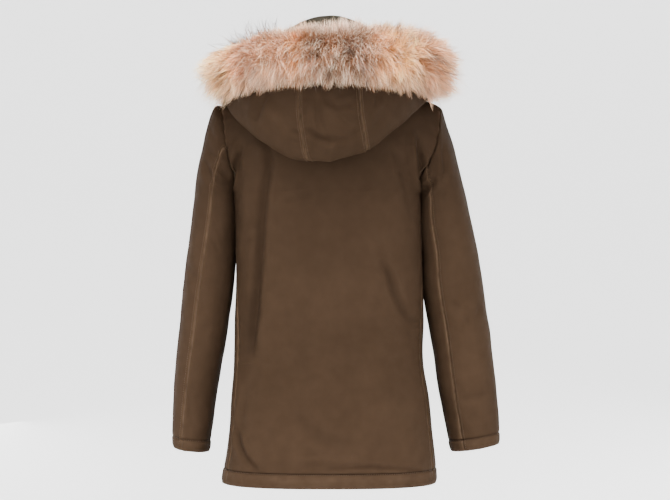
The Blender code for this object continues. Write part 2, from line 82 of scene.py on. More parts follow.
@dataclass(frozen=True)
class Track:
    """A smooth curve of one number along another, through the rows of a table."""

    places: tuple[float, ...]
    values: tuple[float, ...]

    def __call__(self, at: Array) -> Array:
        """The curve's value at each place, held at its ends.

        Args:
            at: places along the curve.

        Returns:
            One value for each place.
        """
        places, values = np.array(self.places), np.array(self.values)
        slopes = np.gradient(values, places)
        index = np.clip(np.searchsorted(places, at) - 1, 0, len(places) - 2)
        span = places[index + 1] - places[index]
        share = np.clip((at - places[index]) / span, 0, 1)
        back = 1 - share
        return (
            values[index] * back**2 * (1 + 2 * share)
            + values[index + 1] * share**2 * (3 - 2 * share)
            + slopes[index] * span * share * back**2
            - slopes[index + 1] * span * share**2 * back
        )


def tracks(names: str, *rows: tuple[float, ...]) -> dict[str, Track]:
    """Reads a table into one curve for each column after the first.

    Args:
        names: the columns' names after the first, which is the place.
        rows: the table's rows.

    Returns:
        The curves by name.
    """
    places, *columns = zip(*rows)
    return {name: Track(places, values) for name, values in zip(names.split(), columns)}


def mix(low: Array, high: Array, share: Array) -> Array:
    """The value a share of the way from low to high."""
    return low + (high - low) * share


def ease(low: float, high: float, value: Array) -> Array:
    """0 below low, 1 above high, and smooth between."""
    share = np.clip((value - low) / (high - low), 0, 1)
    return share * share * (3 - 2 * share)


def signed_power(value: Array, exponent: float) -> Array:
    """A power that keeps the value's sign."""
    return np.sign(value) * np.abs(value) ** exponent


def bell(distance: Array, width: float) -> Array:
    """1 at no distance, falling softly to 0 past the width."""
    return np.exp(-((distance / width) ** 2))


def ripple(along: Array, pitch: float, seed: float) -> Array:
    """An uneven wave between about -1 and 1.

    Args:
        along: distance along the wave in metres.
        pitch: its typical length in metres.
        seed: any number, which shifts the wave.

    Returns:
        The wave's height at each place.
    """
    turn = 2 * math.pi * along / pitch
    return (
        np.sin(turn + seed)
        + 0.7 * np.sin(turn * 0.617 + 2.3 * seed)
        + 0.5 * np.sin(turn * 1.741 + 4.1 * seed)
    ) / 2.2


def joined(x: Array, y: Array, z: Array) -> Array:
    """Points from their three coordinates."""
    return np.stack(np.broadcast_arrays(x, y, z), axis=-1)


def unit(vectors: Array) -> Array:
    """The vectors at length 1."""
    return vectors / np.maximum(np.linalg.norm(vectors, axis=-1, keepdims=True), 1e-12)


def turned(profile: Sequence[tuple[float, float]], sides: int) -> list[Array]:
    """Rings of points round Z, one for each radius and height of a profile."""
    turns = np.arange(sides) * 2 * math.pi / sides
    return [joined(r * np.cos(turns), r * np.sin(turns), np.full(sides, h)) for r, h in profile]


def placed(
    name: str, data: bpy.types.ID, place: Sequence[float], target: Sequence[float]
) -> bpy.types.Object:
    """Puts a light or camera in the scene, looking at a target.

    Args:
        name: its name.
        data: the light or camera.
        place: where it stands.
        target: what it looks at.

    Returns:
        The object.
    """
    thing = bpy.data.objects.new(name, data)
    thing.location = place
    aim = Vector(target) - Vector(place)
    thing.rotation_euler = aim.to_track_quat("-Z", "Y").to_euler()
    bpy.context.scene.collection.objects.link(thing)
    return thing


# ---------------------------------------------------------------------------------------------------------
# The garment's form, in the same sizes as the frame's solids


@dataclass(frozen=True)
class BodyForm:
    """The body: rounded oblong rings below the underarm, and a yoke up to the shoulder and neck."""

    hem_z: float = -0.730
    underarm_z: float = -0.205
    shoulder_z: float = -0.045
    neck_half_width: float = 0.078
    neck_depth: tuple[float, float] = (0.068, 0.078)
    neck_drop: tuple[float, float] = (0.018, 0.070)
    ring_power: float = 2.7
    yoke_power: float = 4.0
    armhole_depth: tuple[float, float] = (0.055, 0.058)
    armhole_edge_power: tuple[float, float] = (30.0, 6.0)
    armhole_spread_rise: float = 0.45
    yoke_flat_rise: float = 0.6
    yoke_steep: tuple[float, float] = (0.5, 0.8)
    neck_column: float = 1 / 3
    seam_shift: float = math.radians(20)
    seam_shift_z: tuple[float, float] = (-0.230, -0.480)
    rings: dict[str, Track] = field(
        default_factory=lambda: tracks(
            "left right back front",
            (-0.730, 0.1980, 0.1955, 0.122, 0.130),
            (-0.697, 0.1920, 0.1930, 0.119, 0.128),
            (-0.640, 0.1835, 0.1870, 0.115, 0.126),
            (-0.575, 0.1800, 0.1805, 0.111, 0.122),
            (-0.520, 0.1755, 0.1710, 0.107, 0.118),
            (-0.440, 0.1740, 0.1710, 0.103, 0.113),
            (-0.360, 0.1710, 0.1690, 0.102, 0.112),
            (-0.300, 0.1733, 0.1675, 0.1065, 0.1155),
            (-0.250, 0.1756, 0.1666, 0.1108, 0.1196),
            (-0.225, 0.1769, 0.1663, 0.1124, 0.1214),
            (-0.205, 0.1780, 0.1660, 0.1130, 0.1220),
        )
    )
    armhole: dict[str, Track] = field(
        default_factory=lambda: tracks(
            "left right",
            (-0.205, 0.1780, 0.1660),
            (-0.180, 0.1735, 0.1640),
            (-0.155, 0.1800, 0.1760),
            (-0.125, 0.1870, 0.1910),
            (-0.085, 0.1925, 0.1980),
            (-0.045, 0.1980, 0.2000),
        )
    )

    def sided(self, table: dict[str, Track], x: Array, z: Array) -> Array:
        """The left or right column of a table at each height, by the sign of x."""
        return np.where(x >= 0, table["left"](z), table["right"](z))

    def neck(self, angle: Array) -> Array:
        """Points of the neck seam, at angles from the middle of the back."""
        to_back = np.cos(angle)
        depth = np.where(to_back >= 0, *self.neck_depth)
        drop = np.where(to_back >= 0, *self.neck_drop)
        z = -drop * np.abs(to_back) ** 1.5
        return joined(self.neck_half_width * np.sin(angle), depth * to_back, z)

    def ring(self, angle: Array, z: Array) -> Array:
        """Points below the underarm, at angles from the middle of the back."""
        across = signed_power(np.sin(angle), 2 / self.ring_power)
        along = signed_power(np.cos(angle), 2 / self.ring_power)
        half_width = self.sided(self.rings, across, z)
        depth = np.where(along >= 0, self.rings["back"](z), self.rings["front"](z))
        return joined(half_width * across, depth * along, z)

    def yoke(self, face: Face, column: Array, level: Array) -> Array:
        """Points above the underarm, where level runs from 1 to 2, the shoulder and neck."""
        which = 0 if face is Face.BACK else 1
        rise = (1 - np.cos(math.pi * (level - 1))) / 2
        place = np.abs(column)
        ring_share = np.sin(math.pi / 2 * place) ** (2 / self.ring_power)
        edge_z = mix(self.underarm_z, self.shoulder_z, rise)
        armhole_x = self.sided(self.armhole, column, edge_z)
        left, right = (self.armhole[side].values[-1] for side in ("left", "right"))
        shoulder_x = np.where(column >= 0, left, right)
        turn = math.pi / 2 * np.minimum(place / self.neck_column, 1)
        neck = self.neck(turn if face is Face.BACK else math.pi - turn)
        out_share = np.maximum(place - self.neck_column, 0) / (1 - self.neck_column)
        beside = place > self.neck_column
        top_x = np.where(beside, mix(self.neck_half_width, shoulder_x, out_share), neck[..., 0])
        top_y = np.where(beside, 0, np.abs(neck[..., 1]))
        top_z = np.where(beside, self.shoulder_z * out_share, neck[..., 2])
        share = mix(ring_share, top_x / shoulder_x, rise)
        rounded = np.maximum(1 - share**self.ring_power, 0) ** (1 / self.ring_power)
        flat = ease(0, self.yoke_flat_rise, rise)
        depth = self.rings["back" if which == 0 else "front"].values[-1]
        depth = depth * mix(rounded, 1 - share**self.yoke_power, flat)
        steep = mix(self.yoke_steep[which], self.yoke_steep[0], ease(0, self.neck_column, place))
        out = top_y + (depth - top_y) * (1 - rise**3) ** steep
        edge_power = mix(*self.armhole_edge_power, ease(0, self.armhole_spread_rise, rise))
        out += self.armhole_depth[which] * 2 * np.sqrt(rise * (1 - rise)) * share**edge_power
        x = np.copysign(armhole_x * share, column)
        return joined(x, out * face.value, mix(self.underarm_z, top_z, rise))

    def point(self, face: Face, column: Array, level: Array) -> Array:
        """Points of the outside: column 0 is the middle and 1 the wearer's left side seam."""
        z = mix(self.hem_z, self.underarm_z, level)
        shift = self.seam_shift * ease(-self.seam_shift_z[0], -self.seam_shift_z[1], -z)
        if face is Face.BACK:
            angle = column * (math.pi / 2 - shift)
        else:
            angle = math.pi - column * (math.pi / 2 + shift)
        low = self.ring(angle, z)
        high = self.yoke(face, column, np.maximum(level, 1))
        return np.where((level > 1)[..., None], high, low)

    def level_of(self, z: float) -> float:
        """The level of a height below the underarm."""
        return (z - self.hem_z) / (self.underarm_z - self.hem_z)

    def column_of(self, x: Array, level: Array) -> Array:
        """The front's column at a distance from the middle."""
        low, high = np.zeros_like(x), np.ones_like(x)
        for _ in range(24):
            middle = (low + high) / 2
            inside = self.point(Face.FRONT, middle, level)[..., 0] < np.abs(x)
            low, high = np.where(inside, middle, low), np.where(inside, high, middle)
        return np.copysign(low, x)


SLEEVE_TABLES = {
    Side.LEFT: tracks(
        "outer_x outer_z inner_x inner_z depth middle_y",
        (0, 0.1980, -0.045, 0.1780, -0.2050, 0.0565, -0.0015),
        (1, 0.2135, -0.046, 0.1760, -0.2100, 0.0600, -0.0020),
        (2, 0.2245, -0.072, 0.1740, -0.2150, 0.0630, -0.0030),
        (3, 0.2370, -0.122, 0.1725, -0.2220, 0.0660, -0.0040),
        (4, 0.2465, -0.171, 0.1705, -0.2340, 0.0680, -0.0050),
        (5, 0.2530, -0.232, 0.1680, -0.2620, 0.0690, -0.0060),
        (6, 0.2620, -0.300, 0.1735, -0.3160, 0.0690, -0.0080),
        (7, 0.2710, -0.362, 0.1790, -0.3740, 0.0685, -0.0100),
        (8, 0.2795, -0.450, 0.1910, -0.4585, 0.0640, -0.0150),
        (9, 0.2880, -0.535, 0.2055, -0.5430, 0.0600, -0.0210),
        (10, 0.2935, -0.620, 0.2185, -0.6285, 0.0550, -0.0280),
        (11, 0.2935, -0.672, 0.2245, -0.6805, 0.0525, -0.0320),
    ),
    Side.RIGHT: tracks(
        "outer_x outer_z inner_x inner_z depth middle_y",
        (0, 0.2000, -0.045, 0.1660, -0.2050, 0.0565, -0.0015),
        (1, 0.2065, -0.052, 0.1640, -0.2100, 0.0600, -0.0020),
        (2, 0.2155, -0.078, 0.1630, -0.2150, 0.0620, -0.0030),
        (3, 0.2300, -0.124, 0.1620, -0.2220, 0.0630, -0.0040),
        (4, 0.2435, -0.180, 0.1605, -0.2340, 0.0635, -0.0050),
        (5, 0.2580, -0.240, 0.1590, -0.2640, 0.0635, -0.0060),
        (6, 0.2715, -0.300, 0.1675, -0.3200, 0.0625, -0.0080),
        (7, 0.2815, -0.364, 0.1710, -0.3780, 0.0615, -0.0100),
        (8, 0.2950, -0.450, 0.1865, -0.4640, 0.0580, -0.0150),
        (9, 0.3065, -0.540, 0.2000, -0.5540, 0.0530, -0.0210),
        (10, 0.3140, -0.615, 0.2145, -0.6290, 0.0475, -0.0280),
        (11, 0.3165, -0.666, 0.2260, -0.6810, 0.0437, -0.0320),
    ),
}


@dataclass(frozen=True)
class SleeveForm:
    """A sleeve: oval rings from the armhole to the cuff. Angle 0 is its outer line, 90 its back."""

    side: Side
    body: BodyForm
    fade_rows: float = 3.0
    armhole_gap: float = -0.0022
    underarm_blend: float = 0.020

    def oval(self, angle: Array, place: Array) -> Array:
        """Points of the plain rings, as on the wearer's left."""
        table = SLEEVE_TABLES[self.side]
        reach = (1 + np.cos(angle)) / 2
        return joined(
            mix(table["inner_x"](place), table["outer_x"](place), reach),
            table["middle_y"](place) + table["depth"](place) * np.sin(angle),
            mix(table["inner_z"](place), table["outer_z"](place), reach),
        )

    def armhole(self, angle: Array) -> Array:
        """Points of the armhole seam."""
        z = mix(self.body.underarm_z, self.body.shoulder_z, (1 + np.cos(angle)) / 2)
        depth = np.where(np.sin(angle) >= 0, *self.body.armhole_depth)
        return joined(self.body.armhole[self.side.word](z), depth * np.sin(angle), z)

    def point(self, degrees: Array, place: Array) -> Array:
        """Points of the outside: it leaves the armhole, and rests against the body's side."""
        angle = np.radians(degrees)
        left_over = 1 - ease(0, self.fade_rows, place)
        point = self.oval(angle, place)
        point += (self.armhole(angle) - self.oval(angle, np.zeros_like(place))) * left_over[..., None]
        x, y, z = point[..., 0] + self.armhole_gap, point[..., 1], point[..., 2]
        rings, power = self.body.rings, self.body.ring_power
        depth = np.where(y >= 0, rings["back"](z), rings["front"](z))
        inside = np.maximum(1 - np.abs(y / depth) ** power, 0) ** (1 / power)
        under = ease(0, self.underarm_blend, self.body.underarm_z - z)
        below = rings[self.side.word](z) * mix(1, inside, under)
        beside = self.body.armhole[self.side.word](z)
        body_x = np.where(z < self.body.underarm_z, below, beside)
        x = np.maximum(x, body_x + self.armhole_gap)
        return joined(x * self.side.value, y, z)


@dataclass(frozen=True)
class HoodForm:
    """The hood, down on the back: a fan of sections round the neck, from the neck seam to the face edge."""

    body: BodyForm
    roll: tuple[float, float, float] = (0.096, 0.092, 0.083)
    fold: tuple[float, float, float] = (0.184, 0.152, 0.089)
    outside: tuple[float, float, float] = (0.187, 0.187, 0.095)
    edge: tuple[float, float, float] = (0.168, 0.168, 0.101)
    right_scale: float = 0.93
    fold_tilt: float = 0.10
    centre_seam: float = 18.0
    seam_reach: float = 22.0
    heights: dict[str, Track] = field(
        default_factory=lambda: tracks(
            "roll fold outside edge",
            (0, 0.022, -0.152, -0.088, 0.030),
            (22, 0.022, -0.138, -0.080, 0.031),
            (40, 0.020, -0.104, -0.060, 0.031),
            (56, 0.017, -0.075, -0.042, 0.030),
            (74, 0.013, -0.046, -0.030, 0.030),
            (92, 0.010, -0.029, -0.020, 0.031),
            (112, 0.008, -0.024, -0.012, 0.038),
            (130, 0.004, -0.008, 0.014, 0.060),
            (150, -0.006, 0.018, 0.060, 0.104),
            (165, -0.014, 0.030, 0.077, 0.127),
            (174, -0.017, 0.035, 0.085, 0.134),
            (180, -0.018, 0.036, 0.086, 0.135),
        )
    )
    # How far the two centre seams lean to the side, in degrees, on the way from the neck to the edge.
    seam_lean: dict[str, Track] = field(
        default_factory=lambda: tracks(
            "left right",
            (0.0, 0.0, 0.0),
            (0.35, -4.0, -2.0),
            (0.5, -7.5, -4.0),
            (0.64, -4.5, -2.0),
            (0.75, -2.0, 0.0),
            (1.0, 0.0, 0.0),
        )
    )

    def loop(self, name: str, angle: Array) -> Array:
        """Points of one of the hood's loops, at angles from the middle of the back."""
        half_width, back, front = getattr(self, name)
        to_back = np.cos(angle)
        x = half_width * np.sin(angle)
        x = np.where(x < 0, x * self.right_scale, x)
        z = self.heights[name](np.abs(np.degrees(angle)))
        if name in ("fold", "outside"):
            z = z - self.fold_tilt * x * np.maximum(to_back, 0)
        return joined(x, np.where(to_back >= 0, back, front) * to_back, z)

    def point(self, degrees: Array, place: Array) -> Array:
        """Points of the outside, from the neck seam, 0, to the face edge, 1."""
        side_share = ease(-self.centre_seam, self.centre_seam, degrees)
        lean = mix(self.seam_lean["right"](place), self.seam_lean["left"](place), side_share)
        away = np.maximum(np.abs(degrees) - self.centre_seam, 0)
        angle = np.radians(degrees + lean * bell(away, self.seam_reach))
        knots = [self.body.neck(angle)]
        knots += [self.loop(name, angle) for name in ("roll", "fold", "outside", "edge")]
        spans = len(knots) - 1
        knots = [2 * knots[0] - knots[1], *knots, 2 * knots[-1] - knots[-2]]
        index = np.minimum((place * spans).astype(int), spans - 1)
        share = (place * spans - index)[..., None]
        rest = 1 - share
        total = np.zeros_like(knots[0])
        for span in range(spans):
            before, start, end, after = knots[span : span + 4]
            curve = start * rest**2 * (1 + 2 * share) + end * share**2 * (3 - 2 * share)
            curve += (end - before) / 2 * share * rest**2 - (after - start) / 2 * share**2 * rest
            total = np.where((index == span)[..., None], curve, total)
        return total

    def edge_frame(self, degrees: Array) -> tuple[Array, Array, Array, Array]:
        """The face edge with its directions outward, upward and along it."""
        angle = np.radians(degrees)
        step = math.radians(0.5)
        along = unit(self.loop("edge", angle + step) - self.loop("edge", angle - step))
        outward = unit(joined(-along[..., 1], along[..., 0], np.zeros_like(angle)))
        return self.loop("edge", angle), outward, np.cross(along, outward), along


# ---------------------------------------------------------------------------------------------------------
# Shader nodes


class Val:
    """A shader socket that takes part in sums as numbers do."""

    def __init__(self, kit: "NodeKit", socket: bpy.types.NodeSocket) -> None:
        self.kit = kit
        self.socket = socket

    def maths(self, operation: str, *values: Union["Val", float]) -> "Val":
        """Adds one Math node on these values."""
        return self.kit.add("ShaderNodeMath", {"operation": operation}, dict(enumerate(values)))

    def __add__(self, other: Union["Val", float]) -> "Val":
        """This plus a value."""
        return self.maths("ADD", self, other)

    def __sub__(self, other: Union["Val", float]) -> "Val":
        """This less a value."""
        return self.maths("SUBTRACT", self, other)

    def __rsub__(self, other: float) -> "Val":
        """A number less this."""
        return self.maths("SUBTRACT", other, self)

    def __mul__(self, other: Union["Val", float]) -> "Val":
        """This times a value."""
        return self.maths("MULTIPLY", self, other)

    __radd__ = __add__
    __rmul__ = __mul__

    def wave(self) -> "Val":
        """The sine of this."""
        return self.maths("SINE", self)

    def between(self, low: float, high: float) -> "Val":
        """0 at low and 1 at high, held outside them."""
        limits = {"From Min": low, "From Max": high, "Value": self}
        return self.kit.add("ShaderNodeMapRange", {"clamp": True}, limits)


Input = Union[Val, float, tuple[float, ...]]


class NodeKit:
    """Builds the nodes of one material round its Principled BSDF."""

    def __init__(self, name: str) -> None:
        """Makes the material and finds its shader."""
        self.material = bpy.data.materials.new(name)
        self.material.use_nodes = True
        self.tree = self.material.node_tree
        self.shader = self.tree.nodes["Principled BSDF"]

    def add(
        self,
        kind: str,
        settings: Optional[dict] = None,
        inputs: Optional[dict] = None,
        output: Union[int, str] = 0,
    ) -> Val:
        """Adds one node.

        Args:
            kind: the node's type.
            settings: its own settings.
            inputs: values or links for its sockets, by name or number.
            output: the name or number of the socket to hand back.

        Returns:
            The chosen output.
        """
        node = self.tree.nodes.new(kind)
        for name, value in (settings or {}).items():
            setattr(node, name, value)
        for name, value in (inputs or {}).items():
            self.set(node.inputs[name], value)
        return Val(self, node.outputs[output])

    def set(self, socket: bpy.types.NodeSocket, value: Input) -> None:
        """Links a socket, or gives it a number or colour."""
        if isinstance(value, Val):
            self.tree.links.new(value.socket, socket)
        elif isinstance(value, tuple) and socket.type == "RGBA":
            socket.default_value = (*value, 1.0)
        else:
            socket.default_value = value

    def finish(self, **values: Input) -> bpy.types.Material:
        """Sets the shader's sockets, named with _ for spaces, and hands back the material."""
        for name, value in values.items():
            self.set(self.shader.inputs[name.replace("_", " ")], value)
        return self.material

    def noise(self, scale: float, detail: float = 2.0) -> Val:
        """Soft noise between about 0.3 and 0.7, through the object's own space."""
        space = self.add("ShaderNodeTexCoord", output="Object")
        inputs = {"Vector": space, "Scale": scale, "Detail": detail}
        return self.add("ShaderNodeTexNoise", {}, inputs)

    def blend(self, low: Input, high: Input, share: Input) -> Val:
        """A colour that goes from low to high with share."""
        inputs = {"Factor": share, 6: low, 7: high}
        return self.add("ShaderNodeMix", {"data_type": "RGBA"}, inputs, 2)

    def bump(self, height: Val, distance: float, strength: float = 1.0) -> Val:
        """A normal for relief of that height at most."""
        inputs = {"Height": height, "Distance": distance, "Strength": strength}
        return self.add("ShaderNodeBump", {}, inputs, "Normal")


@dataclass(frozen=True)
class SateenFinish:
    """Washed cotton sateen: a fine steep weave, nearly matt, paler where edges and seams are worn, and
    darkened by painted shade in its creases, hem grooves and under the hood and fur.
    """

    name: str = "cotton_sateen"
    shaded: Colour = (0.008, 0.0045, 0.0025)
    deep: Colour = (0.0215, 0.0125, 0.0068)
    light: Colour = (0.0330, 0.0195, 0.0112)
    rubbed: Colour = (0.070, 0.044, 0.027)
    weave_turns: float = 5200.0
    weave_slant: float = 0.45
    crumple: float = 0.0016

    def build(self) -> bpy.types.Material:
        """Makes the material."""
        kit = NodeKit(self.name)
        grain = kit.add("ShaderNodeAttribute", {"attribute_name": "grain"}, output="Vector")
        across = kit.add("ShaderNodeSeparateXYZ", {}, {0: grain}, "X")
        along = kit.add("ShaderNodeSeparateXYZ", {}, {0: grain}, "Y")
        # This attribute is above 0 where the cloth is worn paler and below 0 where shade is painted.
        wear = kit.add("ShaderNodeAttribute", {"attribute_name": "wear"}, output="Fac")
        weave = ((across + along * self.weave_slant) * self.weave_turns).wave()
        patches = kit.noise(6.0, 3.0).between(0.3, 0.7)
        mottle = kit.noise(55.0, 4.0).between(0.3, 0.7)
        fibre = kit.noise(900.0, 2.0)
        tone = patches * 0.55 + mottle * 0.3 + weave * 0.06 + fibre * 0.15
        cloth = kit.blend(self.deep, self.light, tone)
        cloth = kit.blend(cloth, self.rubbed, wear.between(0, 1) * (0.35 + mottle * 0.65))
        # Painted shade: below 0 the cloth goes towards the shaded colour.
        cloth = kit.blend(cloth, self.shaded, (wear * -1).between(0, 1))
        relief = kit.bump(weave * 0.35 + fibre, 0.00035, 0.5)
        height = kit.noise(38.0, 3.0)
        folds = kit.add(
            "ShaderNodeBump",
            {},
            {"Height": height, "Distance": self.crumple, "Strength": 0.5, "Normal": relief},
            "Normal",
        )
        return kit.finish(
            Base_Color=cloth,
            Roughness=0.88 - mottle * 0.12,
            Normal=folds,
            IOR=1.12,
            Specular_IOR_Level=0.4,
        )


@dataclass(frozen=True)
class LiningFinish:
    """The plain inside of the cloth: dark olive grey, finely ribbed along the grain."""

    name: str = "ribbed_lining"
    deep: Colour = (0.024, 0.021, 0.015)
    light: Colour = (0.054, 0.047, 0.034)
    rib_turns: float = 2400.0

    def build(self) -> bpy.types.Material:
        """Makes the material."""
        kit = NodeKit(self.name)
        grain = kit.add("ShaderNodeAttribute", {"attribute_name": "grain"}, output="Vector")
        across = kit.add("ShaderNodeSeparateXYZ", {}, {0: grain}, "X")
        rib = (across * self.rib_turns).wave()
        mottle = kit.noise(60.0, 3.0)
        tone = mottle * 0.8 + rib * 0.18 + 0.05
        return kit.finish(
            Base_Color=kit.blend(self.deep, self.light, tone),
            Roughness=0.85 - mottle * 0.1,
            Normal=kit.bump(rib + mottle, 0.0006, 0.6),
            IOR=1.12,
        )


@dataclass(frozen=True)
class ThreadFinish:
    """Matt sewing thread, a little paler than the cloth."""

    name: str = "sewing_thread"
    deep: Colour = (0.045, 0.028, 0.017)
    light: Colour = (0.072, 0.046, 0.029)

    def build(self) -> bpy.types.Material:
        """Makes the material."""
        kit = NodeKit(self.name)
        fibre = kit.noise(1500.0, 2.0)
        return kit.finish(
            Base_Color=kit.blend(self.deep, self.light, fibre.between(0.3, 0.7)),
            Roughness=0.7 - fibre * 0.2,
            Normal=kit.bump(fibre, 0.0002, 0.6),
            IOR=1.15,
        )


@dataclass(frozen=True)
class FurFinish:
    """Soft hair, coloured strand by strand from the mesh's own tint."""

    name: str
    roughness: float = 0.75
    sheen: float = 0.04

    def build(self) -> bpy.types.Material:
        """Makes the material."""
        kit = NodeKit(self.name)
        tint = kit.add("ShaderNodeAttribute", {"attribute_name": "tint"}, output="Color")
        strand = kit.noise(420.0, 2.0)
        return kit.finish(
            Base_Color=tint,
            Roughness=self.roughness + strand * 0.2,
            Sheen_Weight=self.sheen,
            Sheen_Roughness=0.5,
            IOR=1.2,
        )


@dataclass(frozen=True)
class StudFinish:
    """Dark satin metal with fine handling marks."""

    name: str = "dark_metal"
    deep: Colour = (0.070, 0.062, 0.055)
    light: Colour = (0.150, 0.135, 0.118)

    def build(self) -> bpy.types.Material:
        """Makes the material."""
        kit = NodeKit(self.name)
        marks = kit.noise(700.0, 5.0).between(0.35, 0.65)
        return kit.finish(
            Base_Color=kit.blend(self.deep, self.light, marks),
            Roughness=0.28 + marks * 0.2,
            Normal=kit.bump(marks, 0.0001, 0.4),
            Metallic=1.0,
        )


@dataclass(frozen=True)
class StudioFinish:
    """The pale floor, faintly uneven."""

    name: str = "pale_floor"
    pale: Colour = (0.90, 0.90, 0.90)
    glow: float = 0.82

    def build(self) -> bpy.types.Material:
        """Makes the material."""
        kit = NodeKit(self.name)
        tone = kit.noise(1.5, 2.0)
        return kit.finish(
            Base_Color=kit.blend(self.pale, (0.93, 0.93, 0.93), tone),
            Roughness=0.95,
            Emission_Color=(1.0, 1.0, 1.0),
            Emission_Strength=self.glow,
        )


# ---------------------------------------------------------------------------------------------------------
# Cloth


@dataclass(frozen=True)
class Crease:
    """A soft trough along a path, seen from behind, or a ridge where its depth is below 0.

    Depth, width and the path's (x, z) points are in millimetres.
    """

    depth: float
    width: float
    path: tuple[tuple[float, float], ...]

    def height(self, x: Array, z: Array) -> Array:
        """How far the cloth stands out, below 0 in the trough, at each place."""
        knots = np.array(self.path) / 1000
        lengths = np.hypot(*np.diff(knots, axis=0).T)
        starts = np.concatenate([[0], np.cumsum(lengths)])
        nearest, along = np.full(x.shape, np.inf), np.zeros(x.shape)
        for start, end, length, begun in zip(knots, knots[1:], lengths, starts):
            step = (end - start) / length
            share = np.clip((x - start[0]) * step[0] + (z - start[1]) * step[1], 0, length)
            off = np.hypot(x - start[0] - step[0] * share, z - start[1] - step[1] * share)
            closer = off < nearest
            nearest, along = np.where(closer, off, nearest), np.where(closer, begun + share, along)
        share = along / starts[-1]
        taper = (4 * share * (1 - share) + 0.02) ** 0.45
        width = self.width / 1000
        profile = bell(nearest, width) - 0.3 * bell(nearest - 2 * width, 0.9 * width)
        return -self.depth / 1000 * taper * profile


def creases(*rows: tuple) -> tuple[Crease, ...]:
    """Creases from rows of depth, width and then the path's points."""
    return tuple(Crease(depth, width, path) for depth, width, *path in rows)


def crumpled(folds: Sequence[Crease], x: Array, z: Array) -> Array:
    """The height of all the creases together."""
    return sum((fold.height(x, z) for fold in folds), np.zeros(x.shape))


def drape(x: Array, z: Array, seed: float, height: float = 0.0009) -> Array:
    """Soft, mostly upright unevenness of hanging cloth."""
    wave = ripple(x + 0.18 * z + 0.02 * np.sin(9 * z + seed), 0.085, seed)
    cross = ripple(z - 0.5 * x + 0.015 * np.sin(17 * x), 0.130, seed + 2.7)
    return height * (wave + 0.6 * cross)


@dataclass(frozen=True)
class SeamStyle:
    """How a seam draws the cloth in beside it, in metres."""

    sink: float = 0.0013
    reach: float = 0.0035
    pucker: float = 0.0007
    pucker_reach: float = 0.014
    pitch: float = 0.017

    def height(self, distance: Array, along: Array, seed: float) -> Array:
        """The cloth's height at a distance from the seam."""
        waves = self.pucker * ripple(along, self.pitch, seed) * bell(distance, self.pucker_reach)
        return waves - self.sink * bell(distance, self.reach)


PLAIN_SEAM = SeamStyle()
ARMHOLE_SEAM = SeamStyle(sink=0.0016, reach=0.0035, pucker=0.0012, pucker_reach=0.020, pitch=0.021)
FLAT_SEAM = SeamStyle(sink=0.0010, reach=0.0030, pucker=0.0005, pucker_reach=0.012, pitch=0.013)


@dataclass(frozen=True)
class Hem:
    """A turned hem: how deep it is sewn, the groove of its stitching and the turned cloth's thickness."""

    depth: float = 0.025
    groove: float = 0.0013
    groove_width: float = 0.0022
    fullness: float = 0.0007
    roll: float = 0.0020
    roll_reach: float = 0.0035

    def height(self, distance: Array, along: Array, seed: float) -> Array:
        """The cloth's height at a distance from the edge."""
        inside = 1 - ease(self.depth - 0.003, self.depth + 0.001, distance)
        puffs = self.fullness * inside * (1 + 0.7 * ripple(along, 0.024, seed))
        groove = self.groove * bell(distance - self.depth, self.groove_width)
        drawn = 0.0006 * ripple(along, 0.019, seed + 1.3) * bell(distance - self.depth, 0.010)
        return puffs + drawn - groove - self.roll * bell(distance, self.roll_reach)

    def wear(self, grid: "ClothGrid", distance: Array, paler: float, line: float) -> None:
        """Wears the edge and the turned cloth paler, and paints shade as a dark line in the groove where it
        is sewn.

        Args:
            grid: the panel.
            distance: each point's distance from the edge.
            paler: how far the turned cloth is worn.
            line: the width of the sewing line.
        """
        grid.rub(distance, 0.0025, 0.7)
        grid.rub(distance - 0.6 * self.depth, 0.4 * self.depth, paler)
        # Painted shade: a dark line in the sewing groove.
        grid.rub(distance - self.depth - 0.001, line, -0.9)


def spread(low: float, high: float, step: float, extra: Sequence[float] = ()) -> Array:
    """Evenly spaced places with some extra ones, always an odd number of them."""
    places = np.linspace(low, high, max(int(round(abs(high - low) / step)), 2) + 1)
    places = np.unique(np.round(np.concatenate([places, np.array(extra, dtype=float)]), 7))
    if len(places) % 2 == 0:
        widest = int(np.argmax(np.diff(places)))
        places = np.insert(places, widest + 1, (places[widest] + places[widest + 1]) / 2)
    return places


